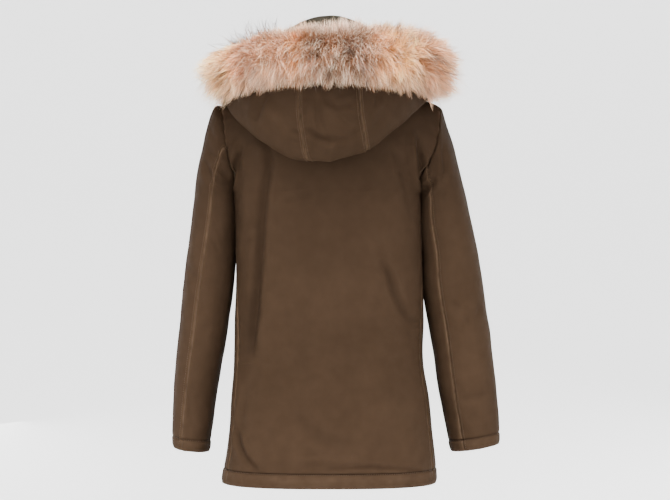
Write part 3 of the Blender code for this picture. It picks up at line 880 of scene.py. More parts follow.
class ClothGrid:
    """A grid of points on a surface, with the distance along it from each of its edges."""

    def __init__(self, surface: Surface, us: Array, vs: Array, facing: int) -> None:
        """Places the points.

        Args:
            surface: gives points for arrays of u and v.
            us: the columns' places.
            vs: the rows' places.
            facing: 1 where u to v turns anticlockwise seen from outside, or -1.
        """
        self.us, self.vs, self.facing = us, vs, facing
        self.u, self.v = np.meshgrid(us, vs)
        self.points = surface(self.u, self.v)
        self.left, self.right = self.lengths(1)
        self.low, self.high = self.lengths(0)
        self.wear = np.zeros(self.u.shape)

    def lengths(self, axis: int) -> tuple[Array, Array]:
        """Distances along the cloth from the first and from the last row or column."""
        steps = np.linalg.norm(np.diff(self.points, axis=axis), axis=-1)
        pad = [(0, 0), (0, 0)]
        pad[axis] = (1, 0)
        along = np.cumsum(np.pad(steps, pad), axis=axis)
        return along, np.max(along, axis=axis, keepdims=True) - along

    @property
    def x(self) -> Array:
        """Each point's X."""
        return self.points[..., 0]

    @property
    def z(self) -> Array:
        """Each point's Z."""
        return self.points[..., 2]

    def normals(self) -> Array:
        """The outward normals."""
        along_u, along_v = np.gradient(self.points, axis=1), np.gradient(self.points, axis=0)
        return unit(np.cross(along_u, along_v)) * self.facing

    def push(self, height: Array) -> None:
        """Moves the cloth out by a height at each point."""
        self.points = self.points + self.normals() * height[..., None]

    def rub(self, distance: Array, width: float, amount: float = 1.0) -> None:
        """Wears the cloth paler near a line, or paints shade there where the amount is below 0."""
        stronger = np.maximum(self.wear, amount) if amount > 0 else np.full_like(self.wear, amount)
        self.wear = mix(self.wear, stronger, bell(distance, width))

    def deepen(self, height: Array, amount: float = 0.55) -> None:
        """Paints shade at the bottom of the cloth's creases, darker the deeper they are."""
        self.wear = self.wear - amount * np.clip(-height / 0.007, 0, 1)

    def sample(self, column: Array, row: Array) -> tuple[Array, Array]:
        """Points and normals at fractional columns and rows."""
        column = np.clip(column, 0, len(self.us) - 1.001)
        row = np.clip(row, 0, len(self.vs) - 1.001)
        i, j = row.astype(int), column.astype(int)
        down, over = (row - i)[..., None], (column - j)[..., None]
        found = []
        for values in (self.points, self.normals()):
            low = mix(values[i, j], values[i, j + 1], over)
            high = mix(values[i + 1, j], values[i + 1, j + 1], over)
            found.append(mix(low, high, down))
        return found[0], unit(found[1])

    def line_across(self, distance: float, from_low: bool = True) -> tuple[Array, Array]:
        """A line at a distance from the lowest or highest row."""
        source = self.low if from_low else -self.high
        wanted = distance if from_low else -distance
        rows = np.arange(len(self.vs))
        found = [np.interp(wanted, source[:, column], rows) for column in range(len(self.us))]
        return self.sample(np.arange(len(self.us), dtype=float), np.array(found))

    def line_along(self, distance: float, from_left: bool = True) -> tuple[Array, Array]:
        """A line at a distance from the first or last column."""
        source = self.left if from_left else -self.right
        wanted = distance if from_left else -distance
        columns = np.arange(len(self.us))
        found = [np.interp(wanted, source[row], columns) for row in range(len(self.vs))]
        return self.sample(np.array(found), np.arange(len(self.vs), dtype=float))


def mesh_object(
    name: str,
    points: Array,
    faces: list,
    finishes: Sequence[bpy.types.Material],
    finish_index: Optional[Array] = None,
) -> bpy.types.Object:
    """Makes a smooth mesh object in the scene.

    Args:
        name: the piece's name.
        points: its vertices.
        faces: the vertices of each face.
        finishes: its materials.
        finish_index: which of them each face has, or None for the first.

    Returns:
        The object.
    """
    data = bpy.data.meshes.new(name)
    data.from_pydata(points.reshape(-1, 3).tolist(), [], faces)
    for finish in finishes:
        data.materials.append(finish)
    if finish_index is not None:
        data.polygons.foreach_set("material_index", finish_index.astype(np.int32))
    data.shade_smooth()
    piece = bpy.data.objects.new(name, data)
    bpy.context.scene.collection.objects.link(piece)
    return piece


def give_attribute(piece: bpy.types.Object, name: str, kind: str, values: Array) -> None:
    """Stores one value for each vertex of a piece."""
    store = piece.data.attributes.new(name, kind, "POINT")
    key = {"FLOAT": "value", "FLOAT_VECTOR": "vector", "FLOAT_COLOR": "color"}[kind]
    store.data.foreach_set(key, values.astype(np.float32).ravel())


def quads(ids: Array) -> Array:
    """The cells of a grid of vertex numbers, each as its four corners."""
    cells = (ids[:-1, :-1], ids[:-1, 1:], ids[1:, 1:], ids[1:, :-1])
    return np.stack(cells, axis=-1).reshape(-1, 4)


def shell(
    name: str, grid: ClothGrid, thickness: float, cloth: bpy.types.Material, lining: bpy.types.Material
) -> bpy.types.Object:
    """A closed thin shell: the grid outside, a grid of half its rows and columns inside, and their rim.

    Args:
        name: the piece's name.
        grid: the outside.
        thickness: the wall.
        cloth: the outside's material.
        lining: the inside's material.

    Returns:
        The object.
    """
    rows, columns = grid.u.shape
    inner = (grid.points - grid.normals() * thickness)[::2, ::2]
    outer_ids = np.arange(rows * columns).reshape(rows, columns)
    inner_ids = rows * columns + np.arange(inner.shape[0] * inner.shape[1]).reshape(inner.shape[:2])
    outer_faces, inner_faces = quads(outer_ids), quads(inner_ids)[:, ::-1]
    walk = [(0, column) for column in range(columns - 1)]
    walk += [(row, columns - 1) for row in range(rows - 1)]
    walk += [(rows - 1, column) for column in range(columns - 1, 0, -1)]
    walk += [(row, 0) for row in range(rows - 1, 0, -1)]
    rim = []
    for index in range(0, len(walk), 2):
        corners = [walk[(index + step) % len(walk)] for step in range(3)]
        first, middle, last = (int(outer_ids[place]) for place in corners)
        low, high = (int(inner_ids[row // 2, column // 2]) for row, column in (corners[0], corners[2]))
        rim += [[first, low, middle], [middle, low, high, last]]
    faces = outer_faces.tolist() + rim + inner_faces.tolist()
    if grid.facing < 0:
        faces = [face[::-1] for face in faces]
    inside = np.zeros(len(faces))
    inside[len(outer_faces) + len(rim) :] = 1
    points = np.concatenate([grid.points.reshape(-1, 3), inner.reshape(-1, 3)])
    piece = mesh_object(name, points, faces, (cloth, lining), inside)
    grain = joined(grid.left, grid.low, np.zeros(grid.u.shape))
    grain = np.concatenate([grain.reshape(-1, 3), grain[::2, ::2].reshape(-1, 3)])
    give_attribute(piece, "grain", "FLOAT_VECTOR", grain)
    give_attribute(piece, "wear", "FLOAT", np.concatenate([grid.wear.ravel(), grid.wear[::2, ::2].ravel()]))
    return piece


@dataclass
class Stitching:
    """Rows of separate stitches, gathered into one piece for each part of the garment."""

    name: str
    length: float = 0.0031
    pitch: float = 0.0041
    thickness: float = 0.0009
    lift: float = 0.0003
    points: list = field(default_factory=list)
    faces: list = field(default_factory=list)

    def sew(self, line: tuple[Array, Array], start: float = 0.0, end: float = 0.0) -> None:
        """Adds one row of stitches.

        Args:
            line: the row's points and the cloth's normals there.
            start: how far after the line's start the row begins.
            end: how far before its end the row stops.
        """
        points, normals = line
        steps = np.linalg.norm(np.diff(points, axis=0), axis=1)
        along = np.concatenate([[0], np.cumsum(steps)])
        places = np.arange(start + self.pitch / 2, along[-1] - end, self.pitch)
        if len(places) == 0:
            return

        def read(values: Array, at: Array) -> Array:
            """Points or normals at distances along the line."""
            return np.stack([np.interp(at, along, values[:, axis]) for axis in range(3)], axis=-1)

        middles, up = read(points, places), unit(read(normals, places))
        forward = unit(read(points, places + self.pitch / 2) - middles)
        aside = np.cross(up, forward)
        half, thick = self.length / 2, self.thickness / 2
        middles = middles + up * self.lift
        rings = [middles - forward * half - up * thick]
        for share in (-0.55, 0.55):
            for turn in range(4):
                angle = math.pi / 2 * turn + math.pi / 4
                offset = aside * math.cos(angle) * thick + up * math.sin(angle) * thick * 0.8
                rings.append(middles + forward * half * share + offset)
        rings.append(middles + forward * half - up * thick)
        base = len(self.points) * 10
        for index, stitch in enumerate(np.stack(rings, axis=1)):
            first = base + index * 10
            self.points.append(stitch)
            for turn in range(4):
                after = (turn + 1) % 4
                self.faces += [
                    [first, first + 1 + after, first + 1 + turn],
                    [first + 1 + turn, first + 1 + after, first + 5 + after, first + 5 + turn],
                    [first + 5 + turn, first + 5 + after, first + 9],
                ]

    def build(self, thread: bpy.types.Material) -> bpy.types.Object:
        """Makes the piece from the rows sewn so far."""
        piece = mesh_object(self.name, np.concatenate(self.points), self.faces, (thread,))
        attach(piece, BODY)
        log.info("%s: %d stitches", self.name, len(self.points))
        return piece


@dataclass(frozen=True)
class Wardrobe:
    """The finishes and forms that every sub-assembly shares."""

    cloth: bpy.types.Material
    lining: bpy.types.Material
    thread: bpy.types.Material
    undercoat: bpy.types.Material
    hair: bpy.types.Material
    metal: bpy.types.Material
    body: BodyForm
    hood: HoodForm


def wear_cloth(
    wardrobe: Wardrobe, node: str, grid: ClothGrid, thickness: float, cut: tuple[float, float, float]
) -> bpy.types.Object:
    """Makes one panel's shell in place of the frame's solid, and logs its size.

    Args:
        wardrobe: the shared finishes.
        node: the frame's solid that the panel stands for.
        grid: the panel's outside.
        thickness: its wall.
        cut: the width, length and area of the flat cut; not used.

    Returns:
        The panel.
    """
    piece = shell(f"{node}_cloth", grid, thickness, wardrobe.cloth, wardrobe.lining)
    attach(piece, BODY)
    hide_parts(node)
    log.info("%s: %d faces, about %.3f m2", piece.name, len(piece.data.polygons), area_of(grid))
    return piece


def area_of(grid: ClothGrid) -> float:
    """The area of a grid's outside, in square metres."""
    along_u = np.diff(grid.points, axis=1)[:-1]
    along_v = np.diff(grid.points, axis=0)[:, :-1]
    return float(np.linalg.norm(np.cross(along_u, along_v), axis=-1).sum())


@dataclass
class BodyPanels:
    """The back and the two fronts."""

    wardrobe: Wardrobe
    stitching: Stitching
    thickness: float = 0.0025
    row_step: float = 0.0036
    yoke_rows: int = 58
    crowded_rows: int = 4
    half_columns: int = 66
    hem: Hem = Hem()
    back_folds: tuple[Crease, ...] = creases(
        (8.5, 8, (124, -100), (107, -130), (110, -160), (118, -212), (123, -265),
         (127, -327), (133, -400), (142, -490)),
        (-4.5, 10, (148, -148), (149, -221), (152, -274), (158, -330)),
        (7.2, 6, (159, -122), (165, -147), (172, -176)),
        (6.4, 17, (140, -380), (150, -450), (152, -510)),
        (2.2, 6.8, (158, -318), (148, -300), (137, -288)),
        (1.6, 5.1, (152, -277), (128, -268)),
        (1.0, 6, (85, -221), (35, -207)),
        (-4.5, 5.1, (-150, -100), (-151, -133), (-157, -168), (-160, -205)),
        (8.0, 6.8, (-158, -110), (-163, -145), (-164, -185)),
        (3.5, 5.1, (-172, -112), (-178, -136)),
        (2.2, 6.8, (-109, -119), (-123, -150), (-131, -177), (-138, -205), (-145, -250)),
        (1.3, 5.1, (-120, -170), (-150, -166)),
        (5.1, 7.6, (-88, -325), (-106, -353), (-114, -380), (-125, -404), (-140, -430),
         (-160, -442)),
        (2.9, 3.5, (10, -696), (-36, -693), (-72, -691), (-109, -695), (-160, -702)),
        (-1.9, 5.1, (60, -684), (20, -680), (-60, -681)),
        (4.5, 5.1, (172, -622), (164, -654), (152, -677), (139, -690), (126, -703)),
        (-3.8, 6, (160, -555), (166, -590), (170, -625), (180, -670)),
        (1.6, 10.2, (60, -600), (20, -640), (-50, -655)),
    )
    front_folds: tuple[Crease, ...] = creases(
        (8.8, 11.9, (150, -120), (128, -170), (120, -240), (122, -330), (130, -430)),
        (-3.5, 8.5, (160, -150), (150, -230), (152, -300)),
        (7.2, 10.2, (-150, -115), (-130, -170), (-124, -250), (-128, -350)),
        (4.2, 7.6, (-80, -340), (-105, -375), (-135, -410), (-160, -425)),
        (2.9, 6.8, (70, -400), (100, -440), (140, -470)),
        (3.2, 8.5, (62, -140), (75, -200), (78, -270)),
        (2.9, 7.6, (-66, -150), (-80, -220), (-82, -300)),
        (2.2, 6.8, (60, -560), (75, -520), (110, -500)),
        (2.6, 6.8, (-55, -520), (-80, -540), (-110, -530)),
    )

    def rows(self) -> Array:
        """The rows' levels, closer where the hem is sewn."""
        form = self.wardrobe.body
        sewn = form.hem_z + self.hem.depth
        extra = [sewn + step * 0.0012 for step in (-2, -1, 0, 1, 2)]
        low = spread(form.hem_z, form.underarm_z, self.row_step, extra)
        high = np.linspace(1, 2, self.yoke_rows + 1)[self.crowded_rows :]
        levels = np.concatenate([form.level_of(low), high])
        return levels if len(levels) % 2 else np.delete(levels, 3)

    def relief(self, face: Face, x: Array, z: Array) -> Array:
        """The creases and drape of one half of the body, away from its seams."""
        if face is Face.BACK:
            return crumpled(self.back_folds, x, z) + drape(x, z, 0.4)
        beside = ease(0.030, 0.050, np.abs(x))
        pocket = ease(-0.575, -0.545, z)
        return (crumpled(self.front_folds, x, z) * pocket + drape(x, z, 2.1, 0.0007)) * beside

    def panel(self, face: Face, columns: Array) -> ClothGrid:
        """One panel's outside with all its relief.

        Args:
            face: the half of the body it covers.
            columns: its columns, from its right side seam or the middle to the left.

        Returns:
            The grid.
        """
        form = self.wardrobe.body
        facing = -1 if face is Face.BACK else 1
        surface = lambda column, level: form.point(face, column, level)
        grid = ClothGrid(surface, columns, self.rows(), facing)
        x, z = grid.x, grid.z
        high = ease(form.underarm_z - 0.01, form.underarm_z + 0.02, z)
        height = self.relief(face, x, z)
        for distance, column in ((grid.left, columns[0]), (grid.right, columns[-1])):
            if abs(column) == 1:
                height *= mix(1, ease(0.002, 0.016, distance), high)
        # Painted shade in the creases, and a painted shadow darkening the cloth towards the shoulders and
        # neck, as under the hood and fur.
        grid.deepen(height)
        grid.rub(grid.high, 0.38, -0.43)
        height += self.hem.height(grid.low, grid.left, 1.7 if face is Face.BACK else 3.1)
        for distance, column, seed in ((grid.left, columns[0], 0.9), (grid.right, columns[-1], 2.6)):
            if abs(column) == 1:
                height += PLAIN_SEAM.height(distance, grid.low, seed) * (1 - high)
                height += ARMHOLE_SEAM.height(distance, grid.low, seed) * high
                grid.rub(distance, 0.0022, 0.75)
        height -= 0.001 * bell(grid.high, 0.004)
        grid.push(height)
        self.hem.wear(grid, grid.low, 0.22, 0.0016)
        return grid

    def build(self) -> list[bpy.types.Object]:
        """Makes the three panels and sews the hem."""
        half = np.linspace(0, 1, self.half_columns + 1)
        spans = {
            "back": (Face.BACK, np.concatenate([-half[:0:-1], half]), (0.45, 0.77, 0.306)),
            "front_left": (Face.FRONT, half, (0.29, 0.77, 0.196)),
            "front_right": (Face.FRONT, -half[::-1], (0.29, 0.77, 0.195)),
        }
        made = []
        for node, (face, columns, cut) in spans.items():
            grid = self.panel(face, columns)
            made.append(wear_cloth(self.wardrobe, node, grid, self.thickness, cut))
            self.stitching.sew(grid.line_across(self.hem.depth), 0.004, 0.004)
        return made


@dataclass
class Sleeve:
    """One two-piece sleeve with its turned cuff."""

    wardrobe: Wardrobe
    stitching: Stitching
    side: Side
    thickness: float = 0.0025
    rows: int = 176
    column_degrees: float = 4.0
    last_place: float = 11.0
    place_length: float = 0.0545
    stitch_inset: float = 0.0045
    hem: Hem = Hem(depth=0.021, groove=0.0015)

    @property
    def seams(self) -> tuple[tuple[float, float], tuple[float, float]]:
        """The back and front seams' angles, each at the armhole and at the cuff."""
        if self.side is Side.LEFT:
            return (90, 66), (232, 236)
        return (112, 122), (242, 250)

    @property
    def cuts(self) -> tuple[tuple[float, float, float], tuple[float, float, float]]:
        """The width, length and area of the upper and under panels, laid flat."""
        if self.side is Side.LEFT:
            return (0.20, 0.66, 0.113), (0.15, 0.52, 0.076)
        return (0.22, 0.66, 0.128), (0.13, 0.52, 0.062)

    @property
    def folds(self) -> tuple[Crease, ...]:
        """The creases of the sleeve's back."""
        if self.side is Side.LEFT:
            return creases(
                (5.6, 5.6, (223, -147), (221, -168), (211, -185), (196, -194), (180, -194)),
                (4.4, 5.0, (222, -126), (211, -143), (193, -148)),
                (2.6, 6.0, (196, -170), (182, -176)),
                (-2.9, 4.2, (215, -158), (203, -172), (192, -180)),
                (2.4, 4.2, (216, -256), (207, -266), (196, -279)),
                (2.2, 4.2, (214, -290), (207, -300), (199, -314)),
                (2.6, 4.2, (219, -87), (209, -106)),
                (2.2, 6, (259, -565), (256, -600), (250, -628)),
                (2.6, 7.6, (262, -330), (250, -352), (232, -368)),
                (1.9, 6.8, (215, -440), (232, -455)),
            )
        return creases(
            (8.8, 6, (-166, -206), (-178, -195), (-190, -180)),
            (4.2, 5.1, (-200, -128), (-206, -145), (-209, -163), (-205, -190)),
            (-2.6, 4.2, (-197, -110), (-198, -145), (-197, -176)),
            (2.9, 4.2, (-190, -174), (-206, -174)),
            (2.4, 5.1, (-202, -222), (-212, -206)),
            (3.5, 4.2, (-244, -428), (-249, -437), (-253, -446)),
            (2.9, 4.2, (-275, -408), (-270, -420), (-264, -430)),
            (2.6, 6.8, (-236, -580), (-262, -577), (-290, -570)),
            (2.1, 6, (-226, -610), (-240, -628), (-250, -650)),
            (2.4, 7.6, (-215, -400), (-232, -416)),
        )

    def grid(self, start: tuple[float, float], end: tuple[float, float], seed: float) -> ClothGrid:
        """One panel's outside.

        Args:
            start: the first seam's angle at the armhole and at the cuff.
            end: the last seam's.
            seed: shifts its unevenness.

        Returns:
            The grid, with its relief.
        """
        form = SleeveForm(self.side, self.wardrobe.body)
        last = self.last_place

        def surface(share: Array, place: Array) -> Array:
            """Points at a share of the way from seam to seam."""
            low = mix(start[0], start[1], place / last)
            high = mix(end[0], end[1], place / last)
            return form.point(mix(low, high, share), place)

        sewn = last - self.hem.depth / self.place_length
        extra = [sewn + step * 0.022 for step in (-2, -1, 0, 1, 2)]
        us = spread(0, 1, self.column_degrees / (end[0] - start[0]))
        grid = ClothGrid(surface, us, spread(0, last, last / self.rows, extra), -self.side.value)
        x, z = grid.x, grid.z
        behind = ease(-0.010, 0.025, grid.points[..., 1])
        cuff = ease(self.hem.depth + 0.004, self.hem.depth + 0.020, grid.high)
        height = crumpled(self.folds, x, z) * behind * cuff
        height += crumpled(self.folds, x, z + 0.035) * (1 - behind) * cuff
        height *= 0.75 * ease(0.002, 0.014, grid.low)
        # Painted shade in the creases, and painted shade darkening the sleeve towards the armhole.
        grid.deepen(height)
        grid.rub(grid.low, 0.20, -0.42)
        height += drape(x * 1.4, z * 1.6, seed, 0.0008)
        for distance, shift in ((grid.left, 0.3), (grid.right, 1.9)):
            height += FLAT_SEAM.height(distance, grid.low, seed + shift)
            height += 0.0009 * bell(distance - 0.0055, 0.0030)
            grid.rub(distance, 0.0022)
        height += ARMHOLE_SEAM.height(grid.low, grid.left, seed + 0.7)
        height += self.hem.height(grid.high, grid.left, seed + 1.1)
        grid.push(height)
        self.hem.wear(grid, grid.high, 0.18, 0.0014)
        return grid

    def build(self) -> list[bpy.types.Object]:
        """Makes the two panels, and sews the seams and the cuff."""
        back, front = self.seams
        turned = (front[0] - 360, front[1] - 360)
        upper, under = self.cuts
        panels = {"upper": (turned, back, upper, 0.5), "under": (back, front, under, 3.7)}
        made = []
        for piece, (start, end, cut, seed) in panels.items():
            grid = self.grid(start, end, seed + self.side.value)
            node = f"sleeve_{self.side.word}_{piece}"
            made.append(wear_cloth(self.wardrobe, node, grid, self.thickness, cut))
            self.stitching.sew(grid.line_across(self.hem.depth, from_low=False), 0.003, 0.003)
            if piece == "upper":
                for from_left in (False, True):
                    self.stitching.sew(grid.line_along(self.stitch_inset, from_left), 0.02, 0.002)
        return made


@dataclass
class Hood:
    """The hood's three panels, with double-stitched seams each side of the centre one."""

    wardrobe: Wardrobe
    stitching: Stitching
    thickness: float = 0.0025
    places: tuple[int, int] = (46, 80)
    centre_columns: int = 32
    side_columns: int = 116
    stitch_inset: float = 0.0052
    folds: tuple[Crease, ...] = creases(
        (4.9, 5.2, (44, -102), (33, -109), (16, -118), (0, -121)),
        (2.6, 4.2, (68, -101), (53, -110), (42, -114)),
        (2.6, 4.6, (21, -48), (21, -81), (14, -103)),
        (-2.0, 5.6, (30, -56), (29, -85), (24, -100)),
        (5.4, 6.6, (112, -34), (124, -56), (131, -83)),
        (-2.2, 7.5, (100, -50), (112, -72), (118, -95)),
        (3.7, 5.6, (8, -50), (-12, -62), (-38, -57)),
        (2.0, 5.6, (-14, -72), (-26, -84), (-40, -97)),
        (2.4, 4.6, (6, -124), (-12, -119), (-30, -118)),
        (-1.8, 6.6, (30, -130), (0, -135), (-30, -132)),
        (3.3, 4.6, (-84, -40), (-80, -60)),
        (1.8, 5.6, (-50, -100), (-42, -112), (-30, -118)),
        (2.0, 6.6, (-100, -55), (-92, -80), (-74, -100)),
        (1.8, 6.6, (86, -60), (80, -85), (70, -104)),
        (1.3, 4.6, (60, -72), (52, -82)),
    )

    def grid(self, degrees: Array, seed: float) -> ClothGrid:
        """One panel's outside, with its relief."""
        form = self.wardrobe.hood
        inner, outer = self.places
        vs = np.concatenate([np.linspace(0, 0.5, inner + 1), np.linspace(0.5, 1, outer + 1)[1:]])
        grid = ClothGrid(form.point, degrees, vs, -1)
        shown = ease(0.50, 0.58, grid.v)
        height = crumpled(self.folds, grid.x, grid.z) * shown * (grid.points[..., 1] > 0)
        # Painted shade in the creases, and a painted shadow of the fur darkening the hood towards its face
        # edge.
        grid.deepen(height)
        grid.rub(grid.high, 0.60, -0.24)
        height += drape(1.3 * grid.left, 1.5 * grid.low, seed, 0.0009) * ease(0.004, 0.03, grid.low)
        for distance, column in ((grid.left, degrees[0]), (grid.right, degrees[-1])):
            if abs(column) < 90:
                height += SeamStyle(pucker=0.0010, pitch=0.011).height(distance, grid.low, seed)
                height += 0.0007 * bell(distance - 0.0050, 0.0035)
                grid.rub(distance, 0.0020, 0.8)
        front = ease(110, 140, np.abs(grid.u))
        height += front * (0.0008 * bell(grid.high, 0.010) - 0.0015 * bell(grid.high, 0.0025))
        grid.push(height)
        grid.rub(grid.high, 0.003, 0.6)
        return grid

    def build(self) -> list[bpy.types.Object]:
        """Makes the three panels and sews the seams."""
        seam = self.wardrobe.hood.centre_seam
        centre = np.linspace(-seam, seam, self.centre_columns + 1)
        side = np.linspace(seam, 180, self.side_columns + 1)
        panels = {
            "hood_right": (-side[::-1], (0.42, 0.34, 0.081), 1.2),
            "hood_centre": (centre, (0.13, 0.34, 0.039), 2.9),
            "hood_left": (side, (0.42, 0.34, 0.096), 4.4),
        }
        made = []
        for node, (degrees, cut, seed) in panels.items():
            grid = self.grid(degrees, seed)
            made.append(wear_cloth(self.wardrobe, node, grid, self.thickness, cut))
            ends = {"hood_left": (True,), "hood_right": (False,), "hood_centre": (True, False)}[node]
            for from_left in ends:
                self.stitching.sew(grid.line_along(self.stitch_inset, from_left), 0.02, 0.03)
        return made


@dataclass
class FrontClosure:
    """The studded flap over the front opening, and the hip pockets beside it."""

    wardrobe: Wardrobe
    stitching: Stitching
    panels: BodyPanels
    flap_width: float = 0.056
    flap_bottom_z: float = -0.722
    flap_hood_top: float = 0.94
    lifts: tuple[float, float, float] = (0.0038, 0.0033, 0.0066)
    pocket: tuple[float, float, float, float] = (0.18, 0.62, -0.702, -0.600)
    flap: tuple[float, float, float, float] = (0.165, 0.635, -0.636, -0.574)
    stitch_inset: float = 0.006
    stud_x: float = -0.013
    stud_heights: tuple[float, ...] = (-0.660, -0.545, -0.430, -0.315, -0.200)
    stud_hood_place: float = 2.55
    stud_lift: float = 0.0004
    stud_sides: int = 40
    # The cap's radius and height, in metres, from its middle out to its foot.
    stud_profile: tuple[tuple[float, float], ...] = (
        (0.0, 0.0021), (0.0022, 0.00205), (0.0043, 0.0018), (0.0050, 0.0015), (0.0056, 0.00155),
        (0.0063, 0.0020), (0.0069, 0.0021), (0.0074, 0.0017), (0.0075, 0.0009), (0.0072, 0.0),
    )

    def flap_surface(self, x: Array, place: Array) -> Array:
        """Points under the flap: place 0 to 2 is the body's level and 2 to 3 the hood's place."""
        body, hood = self.wardrobe.body, self.wardrobe.hood
        level = np.minimum(place, 2)
        low = body.point(Face.FRONT, body.column_of(x, level), level)
        hood_place = np.clip(place - 2, 0, 1)
        side = hood.point(np.full_like(place, 90.0), hood_place)[..., 0]
        width = np.maximum(side, body.neck_half_width)
        high = hood.point(180 - np.degrees(np.arcsin(x / width)), hood_place)
        share = ease(1.97, 2.03, place)[..., None]
        return mix(low, high, share)

    def flap_grid(self) -> ClothGrid:
        """The flap's outside."""
        body = self.wardrobe.body
        low = spread(body.level_of(self.flap_bottom_z), 1.96, 0.0075)
        high = np.linspace(2.04, 2 + self.flap_hood_top, 61)
        vs = np.concatenate([low, high])
        vs = vs if len(vs) % 2 else np.delete(vs, 2)
        us = np.linspace(-self.flap_width / 2, self.flap_width / 2, 23)
        grid = ClothGrid(self.flap_surface, us, vs, 1)
        height = np.full(grid.u.shape, self.lifts[0])
        height += drape(grid.x, grid.z, 5.2, 0.0005)
        for distance in (grid.left, grid.right, grid.low, grid.high):
            height -= 0.0016 * bell(distance, 0.0025)
            height -= 0.0006 * bell(distance - 0.006, 0.0022)
            grid.rub(distance, 0.0025, 0.7)
        height += 0.0005 * ripple(grid.low, 0.022, 0.8) * bell(np.minimum(grid.left, grid.right), 0.008)
        grid.push(height)
        return grid

    def patch_grid(self, side: Side, spans: tuple[float, float, float, float], lift: float) -> ClothGrid:
        """A pocket's or flap's outside, on the front panel's own relief.

        Args:
            side: which front it is on.
            spans: its nearest and furthest columns, and its low and high Z.
            lift: how far it stands out of the front.

        Returns:
            The grid.
        """
        near, far, low, high = spans
        form = self.wardrobe.body
        us = np.sort(side.value * np.linspace(near, far, 39))
        vs = form.level_of(np.linspace(low, high, 2 * round((high - low) / 0.0056) + 1))
        grid = ClothGrid(lambda column, level: form.point(Face.FRONT, column, level), us, vs, 1)
        height = lift + self.panels.relief(Face.FRONT, grid.x, grid.z)
        edge = np.minimum(np.minimum(grid.left, grid.right), np.minimum(grid.low, grid.high))
        height += 0.0006 * ripple(grid.left + grid.low, 0.03, 1.9) * bell(edge, 0.02)
        height -= 0.0014 * bell(edge, 0.0026) + 0.0005 * bell(edge - 0.006, 0.0022)
        grid.push(height)
        grid.rub(edge, 0.0026, 0.8)
        return grid

    def stud(self, number: int, point: Array, normal: Array) -> bpy.types.Object:
        """One press stud's cap, turned as a low dome with a rolled rim.

        Args:
            number: its place from the hem.
            point: the middle of its foot.
            normal: the way it faces.

        Returns:
            The cap.
        """
        sides = self.stud_sides
        rings = turned(self.stud_profile[1:], sides)
        points = np.concatenate([[[0, 0, self.stud_profile[0][1]]], *rings, [[0, 0, 0]]])
        faces = []
        for side in range(sides):
            after = (side + 1) % sides
            faces.append([0, 1 + side, 1 + after])
            for ring in range(len(rings) - 1):
                low, high = 1 + ring * sides, 1 + (ring + 1) * sides
                faces.append([low + side, high + side, high + after, low + after])
            last = 1 + (len(rings) - 1) * sides
            faces.append([last + side, len(points) - 1, last + after])
        turn = np.array(Vector(normal).to_track_quat("Z", "Y").to_matrix())
        piece = mesh_object(f"stud_{number}", points @ turn.T + point, faces, (self.wardrobe.metal,))
        piece.data.set_sharp_from_angle(angle=math.radians(50))
        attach(piece, BODY)
        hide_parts(f"snap_{number}")
        return piece

    def sew_edges(self, grid: ClothGrid, ends: tuple[bool, ...]) -> None:
        """Sews both sides of a piece, and then its low end for True or its high end for False."""
        inset = self.stitch_inset
        lines = [grid.line_along(inset, from_left) for from_left in (True, False)]
        for line in lines + [grid.line_across(inset, from_low) for from_low in ends]:
            self.stitching.sew(line, inset, inset)

    def build(self) -> list[bpy.types.Object]:
        """Makes the flap, its studs, and the pockets."""
        grid = self.flap_grid()
        made = [wear_cloth(self.wardrobe, "placket", grid, 0.0028, (0.056, 0.88, 0.049))]
        self.sew_edges(grid, (True,))
        levels = [self.wardrobe.body.level_of(z) for z in self.stud_heights]
        for number, place in enumerate([*levels, self.stud_hood_place], 1):
            column = np.interp(self.stud_x, grid.us, np.arange(len(grid.us)))
            row = np.interp(place, grid.vs, np.arange(len(grid.vs)))
            point, normal = grid.sample(np.array([column]), np.array([row]))
            made.append(self.stud(number, point[0] + normal[0] * self.stud_lift, normal[0]))
        for side in Side:
            for name, spans, lift, cut in (
                ("pocket", self.pocket, self.lifts[1], (0.118, 0.102, 0.012)),
                ("flap", self.flap, self.lifts[2], (0.130, 0.062, 0.008)),
            ):
                patch = self.patch_grid(side, spans, lift)
                made.append(wear_cloth(self.wardrobe, f"{name}_{side.word}", patch, 0.0025, cut))
                self.sew_edges(patch, (True, False) if name == "pocket" else (False, True))
        return made


